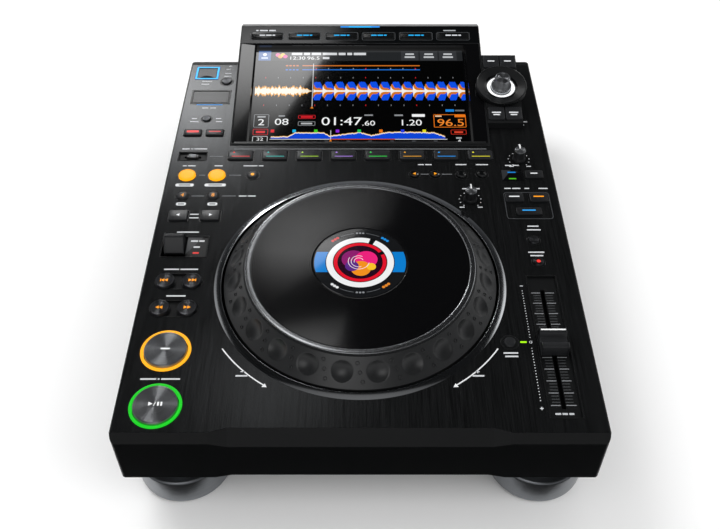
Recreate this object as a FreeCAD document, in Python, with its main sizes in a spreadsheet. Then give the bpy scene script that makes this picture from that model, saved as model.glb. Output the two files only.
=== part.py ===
"""Tabletop media player deck: a flat-bodied player with a large jog wheel, a tilted touch screen,
a tempo fader and rows of buttons. Millimetres, +Z up, X to the right, the front faces -Y.
The origin is on the table, under the middle of the body.
"""
import FreeCAD, Part
import os
import Sketcher

# Driving sizes, in millimetres and degrees. Heights are measured from the table.
SIZES = {
    # Body
    "body_width": 329.0, "body_front": -226.5, "body_rear": 199.0, "body_bottom": 38.7,
    "deck_height": 88.0, "corner_radius": 3.0, "case_wall": 3.0, "top_wall": 2.5,
    "plate_thickness": 2.0, "plate_side_lip": 0.9, "plate_rear": 193.9,
    "opening_rim": 1.0, "opening_front_rim": 1.8, "opening_inner": 84.0,
    # Bevel along the front edge: narrow at the sides, wide in the middle
    "bevel_side_depth": 4.45, "bevel_side_drop": 7.2, "bevel_mid_depth": 8.0, "bevel_mid_drop": 10.4,
    "bevel_mid_half": 88.0, "bevel_side_half": 100.0, "chin_lift": 3.5, "bevel_backing": 0.5,
    # Metal tray that closes the body from below and behind
    "tray_recess": 1.5, "sheet": 1.5, "tray_flange": 9.0, "rear_panel_height": 38.0,
    "rear_window_half": 148.0, "rear_window_margin": 5.0,
    # Feet
    "foot_radius": 34.8, "foot_half_span": 128.9, "foot_front_y": -190.5, "foot_rear_y": 158.0,
    "foot_metal_top": 27.0, "foot_neck_radius": 28.5, "pad_radius": 31.0, "pad_height": 4.0,
    "pad_stand": 1.6, "foot_chamfer": 1.2,
    # Clearances
    "gap": 0.3, "ear_gap": 0.2, "press_travel": 0.8,
    # Circuit board under the deck
    "board_drop": 12.0, "board_thickness": 1.6, "board_side": 8.0, "switch_height": 3.4, "switch_side": 6.0,
    "board_front_margin": 9.0, "board_rear_y": 69.0, "board_jog_clear": 1.5, "standoff_radius": 2.5,
    "standoff_x": 152.0, "standoff_front_y": -170.0, "standoff_rear_y": 44.0,
    # Press buttons
    "cap_rise": 1.4, "key_rise": 1.6, "stem_side": 2.4, "ear_reach": 1.4, "ear_width": 2.4, "ear_thickness": 1.2,
    # Jog wheel
    "jog_y": -86.2, "ring_outer": 110.4, "ring_bore": 104.9, "ring_skirt": 107.7, "ring_rise": 1.0,
    "ring_skirt_depth": 9.0, "ring_edge": 0.5,
    "dial_radius": 103.0, "dial_edge_rise": 0.8, "dial_skirt": 4.0, "dial_top_radius": 87.0,
    "dial_top_rise": 17.2, "dial_wall": 4.6, "dial_ledge_radius": 81.0, "dial_ledge_drop": 2.4,
    "dimple_count": 24, "dimple_radius": 7.8, "dimple_depth": 2.1, "dimple_r": 94.6,
    "platter_radius": 84.2, "rim_outer": 85.9, "rim_inner": 81.8, "rim_rise": 18.7, "rim_edge": 0.6,
    "platter_rise": 18.0, "platter_web": 3.1, "hub_outer": 25.0, "hub_drop": 36.0,
    "spindle_radius": 20.0, "spindle_shoulder": 28.0, "spindle_flange": 45.0, "flange_thickness": 3.5,
    "lens_radius": 35.2, "lens_thickness": 2.4, "web_under_lens": 2.5,
    # Tilted display
    "screen_width": 230.0, "screen_front_y": 70.6, "screen_tilt": 11.644, "screen_run": 148.5,
    "screen_back_y": 226.5, "screen_back_drop": 4.5, "screen_back_lip": 12.0, "screen_under_y": 218.0,
    "sill_half": 111.5, "sill_front_y": 72.5, "sill_rear_y": 188.0, "sill_depth": 12.0,
    "recess_half": 113.4, "recess_low": 3.0, "recess_high": 124.8, "recess_depth": 5.0,
    "glass_half": 99.4, "glass_low": 4.4, "glass_high": 122.6, "glass_thickness": 2.0,
    "lcd_half": 94.5, "lcd_low": 8.5, "lcd_high": 118.5, "lcd_thickness": 5.0, "screen_ledge": 0.5,
    "top_key_width": 30.3, "top_key_depth": 8.9, "top_key_pitch": 35.8, "top_key_centre": 134.7,
    "top_key_rise": 0.8, "top_key_root": 3.0,
    # Raised pod with the rotary selector
    "pod_left": 115.0, "pod_right": 146.6, "pod_front_y": 95.1, "pod_rise": 6.4, "pod_run": 83.0,
    "pod_back": 5.0, "pod_corner": 2.0, "pod_ring_x": 129.7, "pod_ring_run": 42.0, "pod_ring_outer": 23.2,
    "pod_ring_inner": 13.2, "pod_ring_low": 1.2, "pod_ring_high": 4.6, "pod_ring_sink": 0.5,
    "pod_key_low": 3.2, "pod_key_length": 14.6, "pod_key_high": 66.4, "pod_key_width": 14.6,
    "pod_key_split": 0.9, "pod_key_rise": 1.2, "pod_key_root": 3.0,
    "selector_radius": 8.6, "selector_top_radius": 7.0, "selector_foot": 4.2, "selector_height": 13.5,
    "selector_teeth": 16, "selector_tooth": 1.1, "selector_stem": 3.0, "selector_stem_length": 6.0,
    # Lit rings round the two large buttons
    "light_outer": 17.9, "light_inner": 15.7, "light_rise": 0.8, "big_cap_radius": 15.2, "big_cap_rise": 2.6,
    "big_cap_edge": 1.0, "big_cap_skirt": 13.6, "big_cap_root": 3.0,
    # Tempo fader
    "fader_x": 136.9, "fader_y": -150.1, "fader_pan_left": 126.0, "fader_pan_right": 149.2,
    "fader_pan_front": -211.5, "fader_pan_rear": -83.6, "fader_pan_thickness": 2.0, "pan_recess": 1.3,
    "pan_rim": 0.9, "pan_rim_rise": 0.2, "pan_floor": 2.4, "slot_width": 3.0, "slot_length": 106.0,
    "fader_travel": 50.0, "fader_cap_width": 19.2, "fader_cap_length": 20.0, "fader_cap_rise": 9.4,
    "fader_cap_lift": 0.6, "fader_valley": 5.2, "fader_blade": 2.0, "fader_blade_length": 5.0, "fader_blade_drop": 9.0,
    "track_width": 12.0, "track_depth": 9.0, "track_wall": 1.2, "track_extra": 8.0,
    # Direction lever
    "lever_x": -145.1, "lever_y": -52.8, "lever_width": 15.6, "lever_base": 17.0, "lever_top": 5.0,
    "lever_rise": 11.5, "lever_axis_drop": 6.0, "lever_back_shift": 2.5, "lever_boss": 3.2,
    "dir_left": -156.3, "dir_right": -119.5, "dir_front": -64.7, "dir_rear": -41.2, "dir_split": -136.6,
    "window_drop": 0.5,
    # Slide switch
    "switch_x": -145.8, "switch_y": 56.2, "switch_knob_length": 10.0, "switch_knob_width": 5.0,
    "switch_knob_rise": 1.2, "switch_travel": 5.5, "switch_pan_length": 25.2, "switch_pan_width": 12.2,
    # Oval insert round each pair of search buttons
    "search_x": -137.6, "search_oval_length": 36.6, "search_oval_width": 16.6, "search_pitch": 20.4,
    "track_search_y": -89.6, "fast_search_y": -116.4, "search_radius": 7.3,
    # Storage ports at the rear left
    "usb_left": -158.6, "usb_right": -136.2, "usb_front": 169.8, "usb_rear": 190.3, "usb_wall": 2.0,
    "usb_depth": 17.0, "usb_floor": 2.0, "usb_rise": 0.3, "flap_thickness": 1.6, "flap_hinge_inset": 1.3,
    "flap_tail": 0.4, "usb_shell_width": 13.6, "usb_shell_depth": 6.4, "usb_shell_wall": 0.6,
    "usb_shell_height": 8.5, "notch_radius": 3.6,
    "card_left": -158.1, "card_right": -121.4, "card_front": 130.9, "card_rear": 152.8, "card_wall": 1.4,
    "card_depth": 11.0, "card_floor": 2.0, "card_slot": 2.4, "door_front_space": 1.0,
    # Rotary knobs
    "knob_radius": 5.6, "knob_top_radius": 4.7, "knob_height": 11.0, "pointer_width": 2.2,
    "pointer_reach": 6.6, "knob_stem": 3.0, "knob_stem_drop": 6.0,
    "jog_adjust_x": 91.2, "jog_adjust_y": 1.0, "speed_knob_x": 137.7, "speed_knob_y": 52.0,
    # Rear sockets, by their centre height
    "socket_height": 62.0, "inlet_x": 118.0, "inlet_width": 24.0, "inlet_height": 17.0, "inlet_depth": 18.0,
    "inlet_wall": 2.0, "net_x": 20.0, "net_width": 12.0, "net_height": 9.0, "net_depth": 14.0,
    "link_x": -18.0, "link_width": 9.0, "link_height": 8.4, "link_depth": 12.0, "port_wall": 1.5,
    "port_block_height": 15.6, "port_floor": 1.5, "port_rise": 0.8,
    "phono_radius": 4.15, "phono_length": 9.0, "phono_bore": 1.6, "phono_flange": 6.0,
    "phono_flange_thickness": 1.2, "phono_left_x": -60.0, "phono_right_x": -76.0, "phono_digital_x": -104.0,
    "power_x": 84.0, "power_width": 13.0, "power_height": 9.0, "power_rise": 2.0, "power_travel": 1.5,
    "power_root": 7.0, "power_shroud": 2.0,
    # Power supply in its cage
    "supply_left": 62.0, "supply_right": 150.0, "supply_front": 76.0, "supply_rear": 150.0,
    "supply_height": 28.0, "supply_sheet": 1.6,
    # Screws under the tray
    "screw_radius": 3.2, "screw_height": 2.0, "screw_slot": 1.0, "screw_half_span": 150.0,
    "screw_front_y": -130.0, "screw_rear_y": 185.0,
}

# Round caps: x, y and radius of each
ROUND_CAPS = {
    "usb_stop_button": (-127.5, 166.1, 4.6),
    "time_mode_button": (-139.9, 108.6, 3.8),
    "loop_in_button": (-147.3, 31.3, 7.2),
    "loop_out_button": (-121.9, 31.3, 7.2),
    "reloop_button": (-91.5, 31.3, 5.0),
    "beat_loop_4_button": (-147.6, 5.5, 5.0),
    "beat_loop_8_button": (-122.2, 5.5, 5.0),
    "call_back_button": (46.3, 32.2, 4.0),
    "call_next_button": (64.1, 32.2, 4.0),
    "delete_button": (86.5, 31.6, 4.2),
    "memory_button": (103.9, 32.2, 4.2),
    "tempo_range_button": (137.5, -46.1, 4.1),
    "master_tempo_button": (137.9, -69.7, 4.1),
    "tempo_reset_button": (106.6, -147.9, 4.4),
}

# Oblong caps: x, y, width and depth of each
OBLONG_CAPS = {
    "slip_key": (-149.8, 88.2, 15.4, 8.0),
    "quantize_key": (-130.0, 88.2, 15.4, 8.0),
    "beat_jump_back_key": (-147.6, -18.4, 15.0, 11.4),
    "beat_jump_next_key": (-121.7, -18.4, 15.0, 11.4),
    "jog_mode_key": (148.0, 31.6, 15.0, 9.4),
    "beat_sync_key": (127.8, 2.6, 15.0, 10.0),
    "master_sync_key": (148.0, 2.6, 15.0, 10.0),
    "key_sync_key": (137.9, -13.8, 20.6, 8.2),
}

# Eight equal keys in a row under the screen
HOT_CUE = {"hot_cue_first_x": -104.0, "hot_cue_pitch": 29.8, "hot_cue_y": 57.0, "hot_cue_width": 21.2,
           "hot_cue_depth": 11.6}
HOT_CUE_COUNT = 8
TOP_KEY_COUNT = 6
SCREW_ROWS = 4

CUE_Y = -155.2
PLAY_Y = -201.4
BIG_X = -137.3

doc = FreeCAD.newDocument("media_player")
sheet = doc.addObject("Spreadsheet::Sheet", "Sizes")
nodes = {}
deck_cutters = []
inserts = []


def write_sizes():
    """Put every driving size in the sheet, one alias a row."""
    sizes = dict(SIZES)
    sizes.update(HOT_CUE)
    sizes.update(big_x=BIG_X, cue_y=CUE_Y, play_y=PLAY_Y)
    for name, (x, y, radius) in ROUND_CAPS.items():
        sizes.update({name + "_x": x, name + "_y": y, name + "_radius": radius})
    for name, (x, y, width, depth) in OBLONG_CAPS.items():
        sizes.update({name + "_x": x, name + "_y": y, name + "_width": width, name + "_depth": depth})
    for row, (alias, value) in enumerate(sizes.items(), start=1):
        sheet.set("A%d" % row, alias)
        sheet.set("B%d" % row, str(value))
        sheet.setAlias("B%d" % row, alias)
    doc.recompute()


def f(text):
    """Turn words with $alias marks into an expression on the sheet."""
    return str(text).replace("$", "Sizes.")


def bind(thing, **expressions):
    """Bind properties to expressions; a double underscore stands for a dot."""
    for path, text in expressions.items():
        thing.setExpression(path.replace("__", "."), f(text))
    return thing


def at(thing, x="0", y="0", z="0"):
    """Place a thing by three expressions."""
    return bind(thing, Placement__Base__x=x, Placement__Base__y=y, Placement__Base__z=z)


def tilt(thing):
    """Turn a thing to the slope of the display, about X."""
    thing.Placement = FreeCAD.Placement(thing.Placement.Base, FreeCAD.Rotation(FreeCAD.Vector(1, 0, 0), 1))
    return bind(thing, Placement__Rotation__Angle="$screen_tilt * 1 deg")


def slope(along, up, front="$screen_front_y", height="$deck_height"):
    """Y and Z of a point that lies along the slope and up from it."""
    y = "%s + (%s) * cos($screen_tilt * 1 deg) - (%s) * sin($screen_tilt * 1 deg)" % (front, along, up)
    z = "%s + (%s) * sin($screen_tilt * 1 deg) + (%s) * cos($screen_tilt * 1 deg)" % (height, along, up)
    return y, z


def box(name, x, y, z, length, width, height):
    """A box from its low corner and its three sides."""
    thing = doc.addObject("Part::Box", name)
    return at(bind(thing, Length=length, Width=width, Height=height), x, y, z)


def slab(name, left, right, front, rear, low, high):
    """A box between two values on each axis."""
    return box(name, left, front, low, "(%s) - (%s)" % (right, left), "(%s) - (%s)" % (rear, front),
               "(%s) - (%s)" % (high, low))


def rod(name, x, y, z, radius, height):
    """An upright cylinder from the centre of its lower face."""
    return at(bind(doc.addObject("Part::Cylinder", name), Radius=radius, Height=height), x, y, z)


def taper(name, x, y, z, low, high, height):
    """An upright cone frustum from the centre of its lower face."""
    return at(bind(doc.addObject("Part::Cone", name), Radius1=low, Radius2=high, Height=height), x, y, z)


def fuse(name, *things):
    """Join things into one solid."""
    joined = doc.addObject("Part::MultiFuse", name)
    joined.Shapes = list(things)
    return joined


def group(name, *things):
    """Keep things as separate solids of one piece."""
    kept = doc.addObject("Part::Compound", name)
    kept.Links = list(things)
    return kept


def cut(name, base, *tools):
    """Take tools away from a base."""
    done = doc.addObject("Part::Cut", name)
    done.Base = base
    done.Tool = tools[0] if len(tools) == 1 else group(name + "_tools", *tools)
    return done


def node(name, thing):
    """Name a finished piece."""
    thing.Label = name
    nodes[name] = thing
    return thing


def body(name):
    """A new empty body."""
    return doc.addObject("PartDesign::Body", name)


def plane(owner, role):
    """The base plane of a body by its role."""
    return next(item for item in owner.Origin.OriginFeatures if item.Role == role)


def outline(owner, name, role, corners, away=None):
    """A closed outline whose corners are pairs of expressions, on a base plane or away from it."""
    sketch = owner.newObject("Sketcher::SketchObject", name)
    sketch.AttachmentSupport = [(plane(owner, role), "")]
    sketch.MapMode = "FlatFace"
    if away is not None:
        sketch.setExpression("AttachmentOffset.Base.z", f(away))
    count = len(corners)
    spread = Part.makePolygon([FreeCAD.Vector(index * 7.0, (index * index) % 11, 0) for index in range(count + 1)])
    points = [vertex.Point for vertex in spread.Vertexes]
    for index in range(count):
        end = points[(index + 1) % count]
        sketch.addGeometry(Part.LineSegment(points[index], end), False)
    for index, (x, y) in enumerate(corners):
        sketch.addConstraint(Sketcher.Constraint("Coincident", index - 1 if index else count - 1, 2, index, 1))
        for kind, text in (("DistanceX", x), ("DistanceY", y)):
            label = "%s%d" % (kind[-1].lower(), index)
            number = sketch.addConstraint(Sketcher.Constraint(kind, -1, 1, index, 1, 1.0 + index))
            sketch.renameConstraint(number, label)
            sketch.setExpression("Constraints." + label, f(text))
    return sketch


def frame_outline(owner, name, left, right, front, rear, away=None):
    """A rectangle on the XY plane between two values on each axis."""
    corners = [(left, front), (right, front), (right, rear), (left, rear)]
    return outline(owner, name, "XY_Plane", corners, away)


def feature(owner, kind, name, sketch, **expressions):
    """Add a sketched feature to a body and bind its sizes."""
    made = owner.newObject("PartDesign::" + kind, name)
    made.Profile = sketch
    return bind(made, **expressions)


def revolve(name, corners, x="0", y="$jog_y", z="0"):
    """A body turned about an upright axis from corners of radius and height."""
    owner = body(name)
    sketch = outline(owner, name + "_profile", "XZ_Plane", corners)
    turned = owner.newObject("PartDesign::Revolution", name + "_turned")
    turned.Profile = sketch
    turned.ReferenceAxis = (sketch, ["V_Axis"])
    turned.Angle = 360.0
    at(owner, x, y, z)
    return owner


def slanted(sketch, y, z):
    """Turn an XY sketch onto the display's slope, through a point."""
    sketch.AttachmentOffset = FreeCAD.Placement(FreeCAD.Vector(), FreeCAD.Rotation(FreeCAD.Vector(1, 0, 0), 1))
    return bind(sketch, AttachmentOffset__Base__y=y, AttachmentOffset__Base__z=z,
                AttachmentOffset__Rotation__Angle="$screen_tilt * 1 deg")


UNDER_PLATE = "$deck_height - $plate_thickness"
BOARD_TOP = "$deck_height - $board_drop + $board_thickness"
SWITCH_TOP = BOARD_TOP + " + $switch_height"
STEM_FOOT = SWITCH_TOP + " + $press_travel + $gap"
EAR_TOP = UNDER_PLATE + " - $ear_gap"
EAR_LOW = EAR_TOP + " - $ear_thickness"
TRAY_LOW = "$body_bottom + $tray_recess"
TRAY_TOP = TRAY_LOW + " + $sheet"
HALF = "$body_width / 2"
PLATE_HALF = "($body_width / 2 - $plate_side_lip)"
PLATE_FRONT = "($body_front + $bevel_side_depth)"
PLATE_MID = "($body_front + $bevel_mid_depth)"
INNER_HALF = "($body_width / 2 - $case_wall)"
PORT_BLOCK_LEFT = "$link_x - $link_width / 2 - $port_wall"
PORT_BLOCK_RIGHT = "$net_x + $net_width / 2 + $port_wall"
PORT_BLOCK_LOW = "$socket_height - $port_block_height / 2"
PORT_BLOCK_TOP = "$socket_height + $port_block_height / 2"
switch_places = []


def plate_corners():
    """Outline of the deck plate, set back in the middle of its front edge."""
    return [("-" + PLATE_HALF, PLATE_FRONT), ("-$bevel_side_half", PLATE_FRONT),
            ("-$bevel_mid_half", PLATE_MID), ("$bevel_mid_half", PLATE_MID),
            ("$bevel_side_half", PLATE_FRONT), (PLATE_HALF, PLATE_FRONT),
            (PLATE_HALF, "$plate_rear"), ("-" + PLATE_HALF, "$plate_rear")]


def make_top_case():
    """Moulded upper case: walls, bevelled chin, seat for the plate and openings in the top wall."""
    case = body("top_case")
    shell = frame_outline(case, "case_outline", "-" + HALF, HALF, "$body_front", "$body_rear", "$body_bottom")
    block = feature(case, "Pad", "case_block", shell, Length="$deck_height - $body_bottom")
    doc.recompute()
    upright = ["Edge%d" % (number + 1) for number, edge in enumerate(block.Shape.Edges)
               if abs(edge.tangentAt(edge.FirstParameter).z) > 0.9]
    rounded = case.newObject("PartDesign::Fillet", "case_corners")
    rounded.Base = (block, upright)
    bind(rounded, Radius="$corner_radius")

    sections = []
    for index, (place, depth, drop) in enumerate((
            ("-%s - 1" % HALF, "side", "side"), ("-$bevel_side_half", "side", "side"),
            ("-$bevel_mid_half", "mid", "mid"), ("$bevel_mid_half", "mid", "mid"),
            ("$bevel_side_half", "side", "side"), ("%s + 1" % HALF, "side", "side"))):
        corners = [("$body_front - 1", "$deck_height + 1"),
                   ("$body_front + $bevel_%s_depth * (1 + 1 / $bevel_%s_drop)" % (depth, drop), "$deck_height + 1"),
                   ("$body_front - 1", "$deck_height - $bevel_%s_drop - $bevel_%s_drop / $bevel_%s_depth"
                    % (drop, drop, depth))]
        sections.append(outline(case, "bevel_section_%d" % index, "YZ_Plane", corners, place))
    bevel = case.newObject("PartDesign::SubtractiveLoft", "front_bevel")
    bevel.Profile = sections[0]
    bevel.Sections = sections[1:]
    bevel.Ruled = True

    chin = outline(case, "chin_outline", "XZ_Plane",
                   [("-$bevel_side_half", "$body_bottom - 1"), ("$bevel_side_half", "$body_bottom - 1"),
                    ("$bevel_side_half", "$body_bottom"), ("$bevel_mid_half", "$body_bottom + $chin_lift"),
                    ("-$bevel_mid_half", "$body_bottom + $chin_lift"), ("-$bevel_side_half", "$body_bottom")],
                   "-$body_front + 1")
    feature(case, "Pocket", "chin_relief", chin, Length="$case_wall + 2")

    seat = outline(case, "plate_seat_outline", "XY_Plane", plate_corners(), "$deck_height")
    feature(case, "Pocket", "plate_seat", seat, Length="$plate_thickness")

    ceiling = "$deck_height - $plate_thickness - $top_wall"
    hollow = outline(case, "hollow_outline", "YZ_Plane", [
        ("$body_front + $case_wall", "$body_bottom - 1"), ("$body_rear - $case_wall", "$body_bottom - 1"),
        ("$body_rear - $case_wall", ceiling), ("$body_front + $bevel_mid_depth + $bevel_backing", ceiling),
        ("$body_front + $case_wall", "$deck_height - $bevel_mid_drop - $case_wall / 2")])
    feature(case, "Pocket", "case_hollow", hollow, Length="2 * %s" % INNER_HALF).Midplane = True

    sides = []
    for sign in ("-", ""):
        wide = "%s(%s - $opening_rim)" % (sign, INNER_HALF)
        front = "%s + $opening_front_rim" % PLATE_FRONT
        sides.append([(wide, front), ("%s($bevel_side_half + 1)" % sign, front),
                      (sign + "$opening_inner", "%s + 2 * $opening_front_rim" % PLATE_MID),
                      (sign + "$opening_inner", "$plate_rear - 3"), (wide, "$plate_rear - 3")])
    for name, corners in zip(("left_opening", "right_opening"), sides):
        sketch = outline(case, name + "_outline", "XY_Plane", corners, "$deck_height")
        feature(case, "Pocket", name, sketch, Length="$plate_thickness + $top_wall + 1")
    openings = (
        ("cue_opening", "-$opening_inner - 1", "$opening_inner + 1", "$jog_y", "$sill_front_y"),
        ("display_opening", "-$sill_half - $gap", "$sill_half + $gap", "$sill_front_y - $gap",
         "$sill_rear_y + $gap"))
    for name, left, right, front, rear in openings:
        sketch = frame_outline(case, name + "_outline", left, right, front, rear, "$deck_height")
        feature(case, "Pocket", name, sketch, Length="$plate_thickness + $top_wall + 1")

    window = outline(case, "rear_window_outline", "XZ_Plane",
                     [("-$rear_window_half", TRAY_TOP + " + $rear_window_margin"),
                      ("$rear_window_half", TRAY_TOP + " + $rear_window_margin"),
                      ("$rear_window_half", TRAY_LOW + " + $rear_panel_height - $rear_window_margin"),
                      ("-$rear_window_half", TRAY_LOW + " + $rear_panel_height - $rear_window_margin")],
                     "-$body_rear - 1")
    feature(case, "Pocket", "rear_window", window, Length="$case_wall + 2").Reversed = True
    well = rod("jog_well", "0", "$jog_y", UNDER_PLATE + " - $top_wall - 1", "$ring_skirt + 2 * $gap",
               "$top_wall + $plate_thickness + 2")
    node("top_case", cut("top_case_finished", case, well))


def make_deck_plate():
    """Brushed top plate with a cut-out for everything that comes through it."""
    plate = body("deck_plate_blank")
    sketch = outline(plate, "plate_outline", "XY_Plane", plate_corners(), UNDER_PLATE)
    feature(plate, "Pad", "plate_sheet", sketch, Length="$plate_thickness")
    deck_cutters.append(rod("plate_jog_hole", "0", "$jog_y", UNDER_PLATE + " - 1", "$ring_skirt + $gap",
                            "$plate_thickness + 2"))
    deck_cutters.append(slab("plate_display_hole", "-$sill_half - $gap", "$sill_half + $gap",
                             "$sill_front_y - $gap", "$sill_rear_y + $gap", UNDER_PLATE + " - 1",
                             "$deck_height + 1"))
    node("deck_plate", cut("deck_plate_finished", plate, *deck_cutters))


def plate_hole(name, left, right, front, rear):
    """A rectangular cut-out in the deck plate."""
    deck_cutters.append(slab(name, left, right, front, rear, UNDER_PLATE + " - 1", "$deck_height + 1"))


def ears_and_stem(name, x, y, reach):
    """Retaining ears under the plate and the stem that reaches down to the switch."""
    ears = box(name + "_ears", "%s - (%s)" % (x, reach), "%s - $ear_width / 2" % y, EAR_LOW,
               "2 * (%s)" % reach, "$ear_width", "$ear_thickness")
    stem = box(name + "_stem", "%s - $stem_side / 2" % x, "%s - $stem_side / 2" % y, STEM_FOOT,
               "$stem_side", "$stem_side", "(%s) - (%s)" % (EAR_LOW, STEM_FOOT))
    switch_places.append((x, y))
    return ears, stem


def make_round_cap(name):
    """A round button: cap, ears and stem."""
    x, y, radius = ("$%s_%s" % (name, part) for part in ("x", "y", "radius"))
    cap = rod(name + "_cap", x, y, EAR_LOW, radius, "$deck_height + $cap_rise - (%s)" % EAR_LOW)
    node(name, fuse(name, cap, *ears_and_stem(name, x, y, radius + " + $ear_reach")))
    deck_cutters.append(rod(name + "_hole", x, y, UNDER_PLATE + " - 1", radius + " + $gap",
                            "$plate_thickness + 2"))


def make_oblong_cap(name, x, y, width, depth, rise="$key_rise"):
    """A rectangular button with the same ears and stem."""
    cap = box(name + "_cap", "%s - %s / 2" % (x, width), "%s - %s / 2" % (y, depth), EAR_LOW, width, depth,
              "$deck_height + %s - (%s)" % (rise, EAR_LOW))
    soft = doc.addObject("Part::Chamfer", name + "_edges")
    soft.Base = cap
    soft.Edges = [(number, 0.5, 0.5) for number in (2, 6, 10, 12)]
    plate_hole(name + "_hole", "%s - %s / 2 - $gap" % (x, width), "%s + %s / 2 + $gap" % (x, width),
               "%s - %s / 2 - $gap" % (y, depth), "%s + %s / 2 + $gap" % (y, depth))
    return fuse(name, soft, *ears_and_stem(name, x, y, width + " / 2 + $ear_reach"))


def make_caps():
    """All the small buttons of the deck."""
    for name in ROUND_CAPS:
        make_round_cap(name)
    for name in OBLONG_CAPS:
        x, y, width, depth = ("$%s_%s" % (name, part) for part in ("x", "y", "width", "depth"))
        node(name, make_oblong_cap(name, x, y, width, depth))
    row = [make_oblong_cap("hot_cue_%d" % index, "($hot_cue_first_x + %d * $hot_cue_pitch)" % index,
                           "$hot_cue_y", "$hot_cue_width", "$hot_cue_depth")
           for index in range(HOT_CUE_COUNT)]
    node("hot_cue_keys", group("hot_cue_keys", *row))


def make_big_buttons():
    """Cue and play: a lit ring set in the plate round a large pressed cap."""
    rings = []
    for name, y in (("cue_button", "$cue_y"), ("play_button", "$play_y")):
        low = UNDER_PLATE + " - $big_cap_root"
        crown = "$deck_height + $big_cap_rise"
        cap = revolve(name + "_turned_cap", [
            ("0", low), ("$big_cap_skirt", low), ("$big_cap_skirt", low + " + 1.2"),
            ("$big_cap_radius", low + " + 1.2"), ("$big_cap_radius", crown + " - $big_cap_edge"),
            ("$big_cap_radius - $big_cap_edge", crown), ("0", crown)], "$big_x", y)
        stem = box(name + "_stem", "$big_x - $stem_side / 2", "%s - $stem_side / 2" % y, STEM_FOOT, "$stem_side",
                   "$stem_side", "%s - (%s)" % (low, STEM_FOOT))
        node(name, fuse(name, cap, stem))
        switch_places.append(("$big_x", y))
        rings.append(revolve(name + "_light", [
            ("$light_inner", low + " + 1"), ("$light_outer", low + " + 1"),
            ("$light_outer", "$deck_height + $light_rise - 0.4"),
            ("$light_outer - 0.5", "$deck_height + $light_rise"),
            ("$light_inner", "$deck_height + $light_rise")], "$big_x", y))
        deck_cutters.append(rod(name + "_hole", "$big_x", y, UNDER_PLATE + " - 1", "$light_outer + 0.1",
                                "$plate_thickness + 2"))
    node("button_light_rings", group("button_light_rings", *rings))


def make_jog():
    """Trim ring, dial with finger dimples, platter, fixed spindle and centre lens."""
    deck = "$deck_height"
    node("jog_trim_ring", revolve("jog_trim_ring", [
        ("$ring_bore", deck + " - $ring_skirt_depth"), ("$ring_skirt", deck + " - $ring_skirt_depth"),
        ("$ring_skirt", deck), ("$ring_outer", deck), ("$ring_outer", deck + " + $ring_rise - $ring_edge"),
        ("$ring_outer - $ring_edge", deck + " + $ring_rise"), ("$ring_bore + $ring_edge", deck + " + $ring_rise"),
        ("$ring_bore", deck + " + $ring_rise - $ring_edge")]))

    top = deck + " + $dial_top_rise"
    ledge = top + " - $dial_ledge_drop"
    dial = revolve("jog_dial", [
        ("$dial_radius", deck + " - $dial_skirt"), ("$dial_radius", deck + " + $dial_edge_rise"),
        ("$dial_top_radius", top), ("$platter_radius + $gap", top), ("$platter_radius + $gap", ledge),
        ("$dial_ledge_radius", ledge), ("$dial_ledge_radius", ledge + " - 2.4"),
        ("$dial_ledge_radius + 1", ledge + " - 2.4"),
        ("$dial_radius - $dial_wall", deck + " - $dial_skirt")])
    bowl = dial.newObject("PartDesign::SubtractiveSphere", "finger_dimple")
    ball = "(($dimple_radius ^ 2 + $dimple_depth ^ 2) / (2 * $dimple_depth))"
    fall = "atan2($dial_top_rise - $dial_edge_rise; $dial_radius - $dial_top_radius)"
    bind(bowl, Radius=ball)
    bowl.AttachmentSupport = [(plane(dial, "XY_Plane"), "")]
    bowl.MapMode = "FlatFace"
    reach = "(%s - $dimple_depth)" % ball
    bind(bowl, AttachmentOffset__Base__x="$dimple_r + %s * sin(%s)" % (reach, fall),
         AttachmentOffset__Base__z="$deck_height + $dial_edge_rise + ($dial_radius - $dimple_r) * tan(%s) + %s * cos(%s)"
         % (fall, reach, fall))
    doc.recompute()
    around = dial.newObject("PartDesign::PolarPattern", "finger_dimples")
    around.Originals = [bowl]
    around.Axis = (plane(dial, "Z_Axis"), [""])
    around.Angle = 360.0
    bind(around, Occurrences="$dimple_count")
    dial.Tip = around
    node("jog_dial", dial)

    crown = deck + " + $platter_rise"
    floor = crown + " - $lens_thickness - $gap"
    web = floor + " - $web_under_lens"
    node("jog_platter", revolve("jog_platter", [
        ("$spindle_radius + $gap", web + " - $hub_drop"), ("$hub_outer", web + " - $hub_drop"),
        ("$hub_outer", web), ("$lens_radius + 5", web), ("$lens_radius + 7", ledge),
        ("$platter_radius", ledge), ("$platter_radius", top), ("$rim_outer", top),
        ("$rim_outer", deck + " + $rim_rise - $rim_edge"), ("$rim_outer - $rim_edge", deck + " + $rim_rise"),
        ("$rim_inner + $rim_edge", deck + " + $rim_rise"), ("$rim_inner", crown),
        ("$lens_radius + $gap", crown), ("$lens_radius + $gap", floor), ("$spindle_radius + $gap", floor)]))

    shoulder = web + " - $hub_drop - $gap"
    node("jog_spindle", revolve("jog_spindle", [
        ("0", TRAY_TOP), ("$spindle_flange", TRAY_TOP), ("$spindle_flange", TRAY_TOP + " + $flange_thickness"),
        ("$spindle_shoulder", TRAY_TOP + " + $flange_thickness"), ("$spindle_shoulder", shoulder),
        ("$spindle_radius", shoulder), ("$spindle_radius", crown + " - $lens_thickness"),
        ("0", crown + " - $lens_thickness")]))
    node("jog_display", revolve("jog_display", [
        ("0", crown + " - $lens_thickness"), ("$lens_radius", crown + " - $lens_thickness"),
        ("$lens_radius", crown), ("0", crown)]))


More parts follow.
